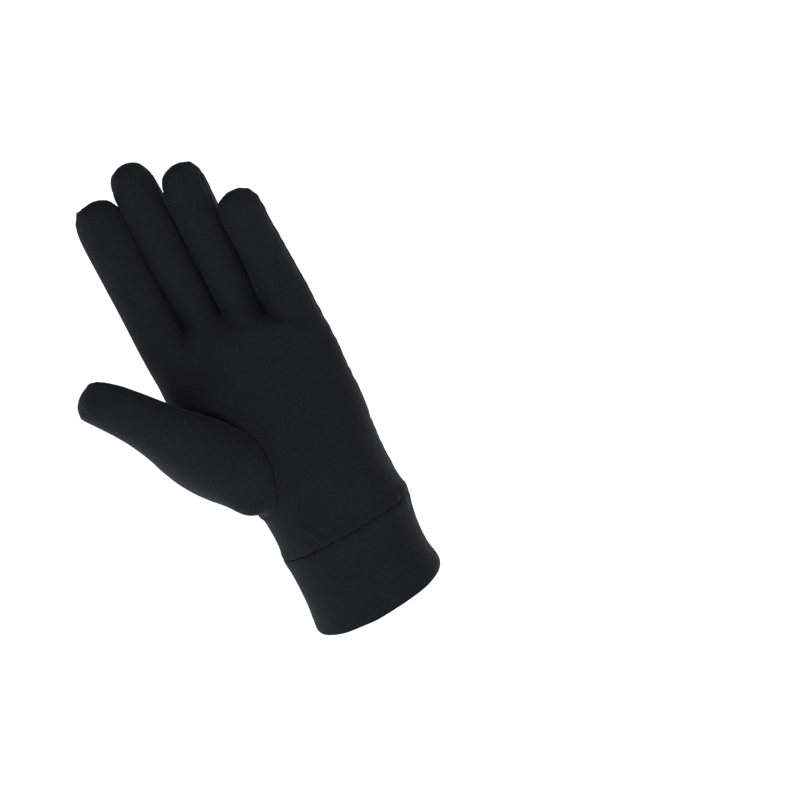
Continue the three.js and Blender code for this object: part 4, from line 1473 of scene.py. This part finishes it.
def set_camera(scene):
    """The camera of the photo: looking down a little at the palm, and turned about its own axis"""
    elevation = math.radians(CAMERA["elevation"])
    roll = math.radians(CAMERA["roll"])
    onward = Vector((0, math.cos(elevation), -math.sin(elevation)))
    right = Vector((1, 0, 0))
    up = Vector((0, math.sin(elevation), math.cos(elevation)))
    aim = right * CAMERA["aim"][0] + up * CAMERA["aim"][1]
    camera_right = right * math.cos(roll) - up * math.sin(roll)
    camera_up = right * math.sin(roll) + up * math.cos(roll)
    lens = bpy.data.cameras.new("camera")
    lens.lens = CAMERA["lens"]
    lens.sensor_width = CAMERA["sensor"]
    lens.clip_end = CAMERA["clip_end"]
    camera = put("camera", lens)
    turn = Matrix((camera_right, camera_up, -onward)).transposed().to_4x4()
    camera.matrix_world = Matrix.Translation(aim - onward * CAMERA["distance"]) @ turn
    scene.camera = camera


class GLOVE_OT_hand(bpy.types.Operator):
    """Make the palm, back and fingers in one cloth"""

    bl_idname = "glove.hand"
    bl_label = "Hand"

    def execute(self, context):
        cut_piece("hand", stretch_knit())
        return {"FINISHED"}


class GLOVE_OT_fourchettes(bpy.types.Operator):
    """Make the strips between the fingers"""

    bl_idname = "glove.fourchettes"
    bl_label = "Fourchettes"

    def execute(self, context):
        for name in CROTCHES:
            cut_piece(name, stretch_knit())
        return {"FINISHED"}


class GLOVE_OT_thumb(bpy.types.Operator):
    """Make the set-in thumb"""

    bl_idname = "glove.thumb"
    bl_label = "Thumb"

    def execute(self, context):
        cut_piece("thumb", stretch_knit())
        return {"FINISHED"}


class GLOVE_OT_cuff(bpy.types.Operator):
    """Make the folded cuff"""

    bl_idname = "glove.cuff"
    bl_label = "Cuff"

    def execute(self, context):
        build_cuff(stretch_knit())
        return {"FINISHED"}


class GLOVE_OT_stitches(bpy.types.Operator):
    """Sew all seams"""

    bl_idname = "glove.stitches"
    bl_label = "Stitches"

    def execute(self, context):
        for row in STITCHES:
            sew(**row)
        return {"FINISHED"}


class GLOVE_OT_stage(bpy.types.Operator):
    """Set the floor, the studio light and the camera"""

    bl_idname = "glove.stage"
    bl_label = "Stage"

    def execute(self, context):
        scene = context.scene
        scene.view_settings.view_transform = "Standard"
        scene.view_settings.look = "None"

        mesh = bpy.data.meshes.new("floor")
        reach = FLOOR["reach"]
        corners = [(x * reach, y * reach, FLOOR["level"]) for x, y in ((-1, -1), (1, -1), (1, 1), (-1, 1))]
        mesh.from_pydata(corners, [], [(0, 1, 2, 3)])
        paint = bpy.data.materials.new("floor_paint")
        paint.use_nodes = True
        set_inputs(paint.node_tree, paint.node_tree.nodes["Principled BSDF"], {
            "Base Color": (*scene.glove_colours.floor, 1.0),
            "Roughness": 0.9,
            "Specular IOR Level": 0.1,
            "Emission Color": (1.0, 1.0, 1.0, 1.0),
            "Emission Strength": 0.5,
        })
        mesh.materials.append(paint)
        floor = put("floor", mesh)

        world = bpy.data.worlds.new("studio")
        world.use_nodes = True
        set_inputs(world.node_tree, world.node_tree.nodes["Background"], {
            "Color": (0.97, 0.985, 1.0, 1.0),
            "Strength": 0.74,
        })
        scene.world = world
        for light in LIGHTS:
            soft_light(**light)
        set_camera(scene)
        return {"FINISHED"}


STEPS = (
    GLOVE_OT_stage,
    GLOVE_OT_hand,
    GLOVE_OT_fourchettes,
    GLOVE_OT_thumb,
    GLOVE_OT_cuff,
    GLOVE_OT_stitches,
)


class GLOVE_PT_panel(bpy.types.Panel):
    """The glove's pieces and sizes"""

    bl_idname = "GLOVE_PT_panel"
    bl_label = "Glove Liner"
    bl_space_type = "VIEW_3D"
    bl_region_type = "UI"
    bl_category = "Glove"

    def draw(self, context):
        layout = self.layout
        for step in STEPS:
            layout.operator(step.bl_idname)
        for group in (context.scene.glove_sizes, context.scene.glove_stitching, context.scene.glove_colours):
            box = layout.box()
            for name in group.__annotations__:
                box.prop(group, name)


GROUPS = (
    ("glove_sizes", GloveSizes),
    ("glove_stitching", GloveStitching),
    ("glove_colours", GloveColours),
)


def register():
    for name, group in GROUPS:
        bpy.utils.register_class(group)
        setattr(bpy.types.Scene, name, bpy.props.PointerProperty(type=group))
    for step in (*STEPS, GLOVE_PT_panel):
        bpy.utils.register_class(step)


def unregister():
    for step in reversed((*STEPS, GLOVE_PT_panel)):
        bpy.utils.unregister_class(step)
    for name, group in reversed(GROUPS):
        delattr(bpy.types.Scene, name)
        bpy.utils.unregister_class(group)


def main():
    register()
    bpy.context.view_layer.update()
    bpy.ops.glove.stage()
    bpy.ops.glove.hand()
    bpy.ops.glove.fourchettes()
    bpy.ops.glove.thumb()
    bpy.ops.glove.cuff()
    bpy.ops.glove.stitches()


if __name__ == "__main__":
    main()
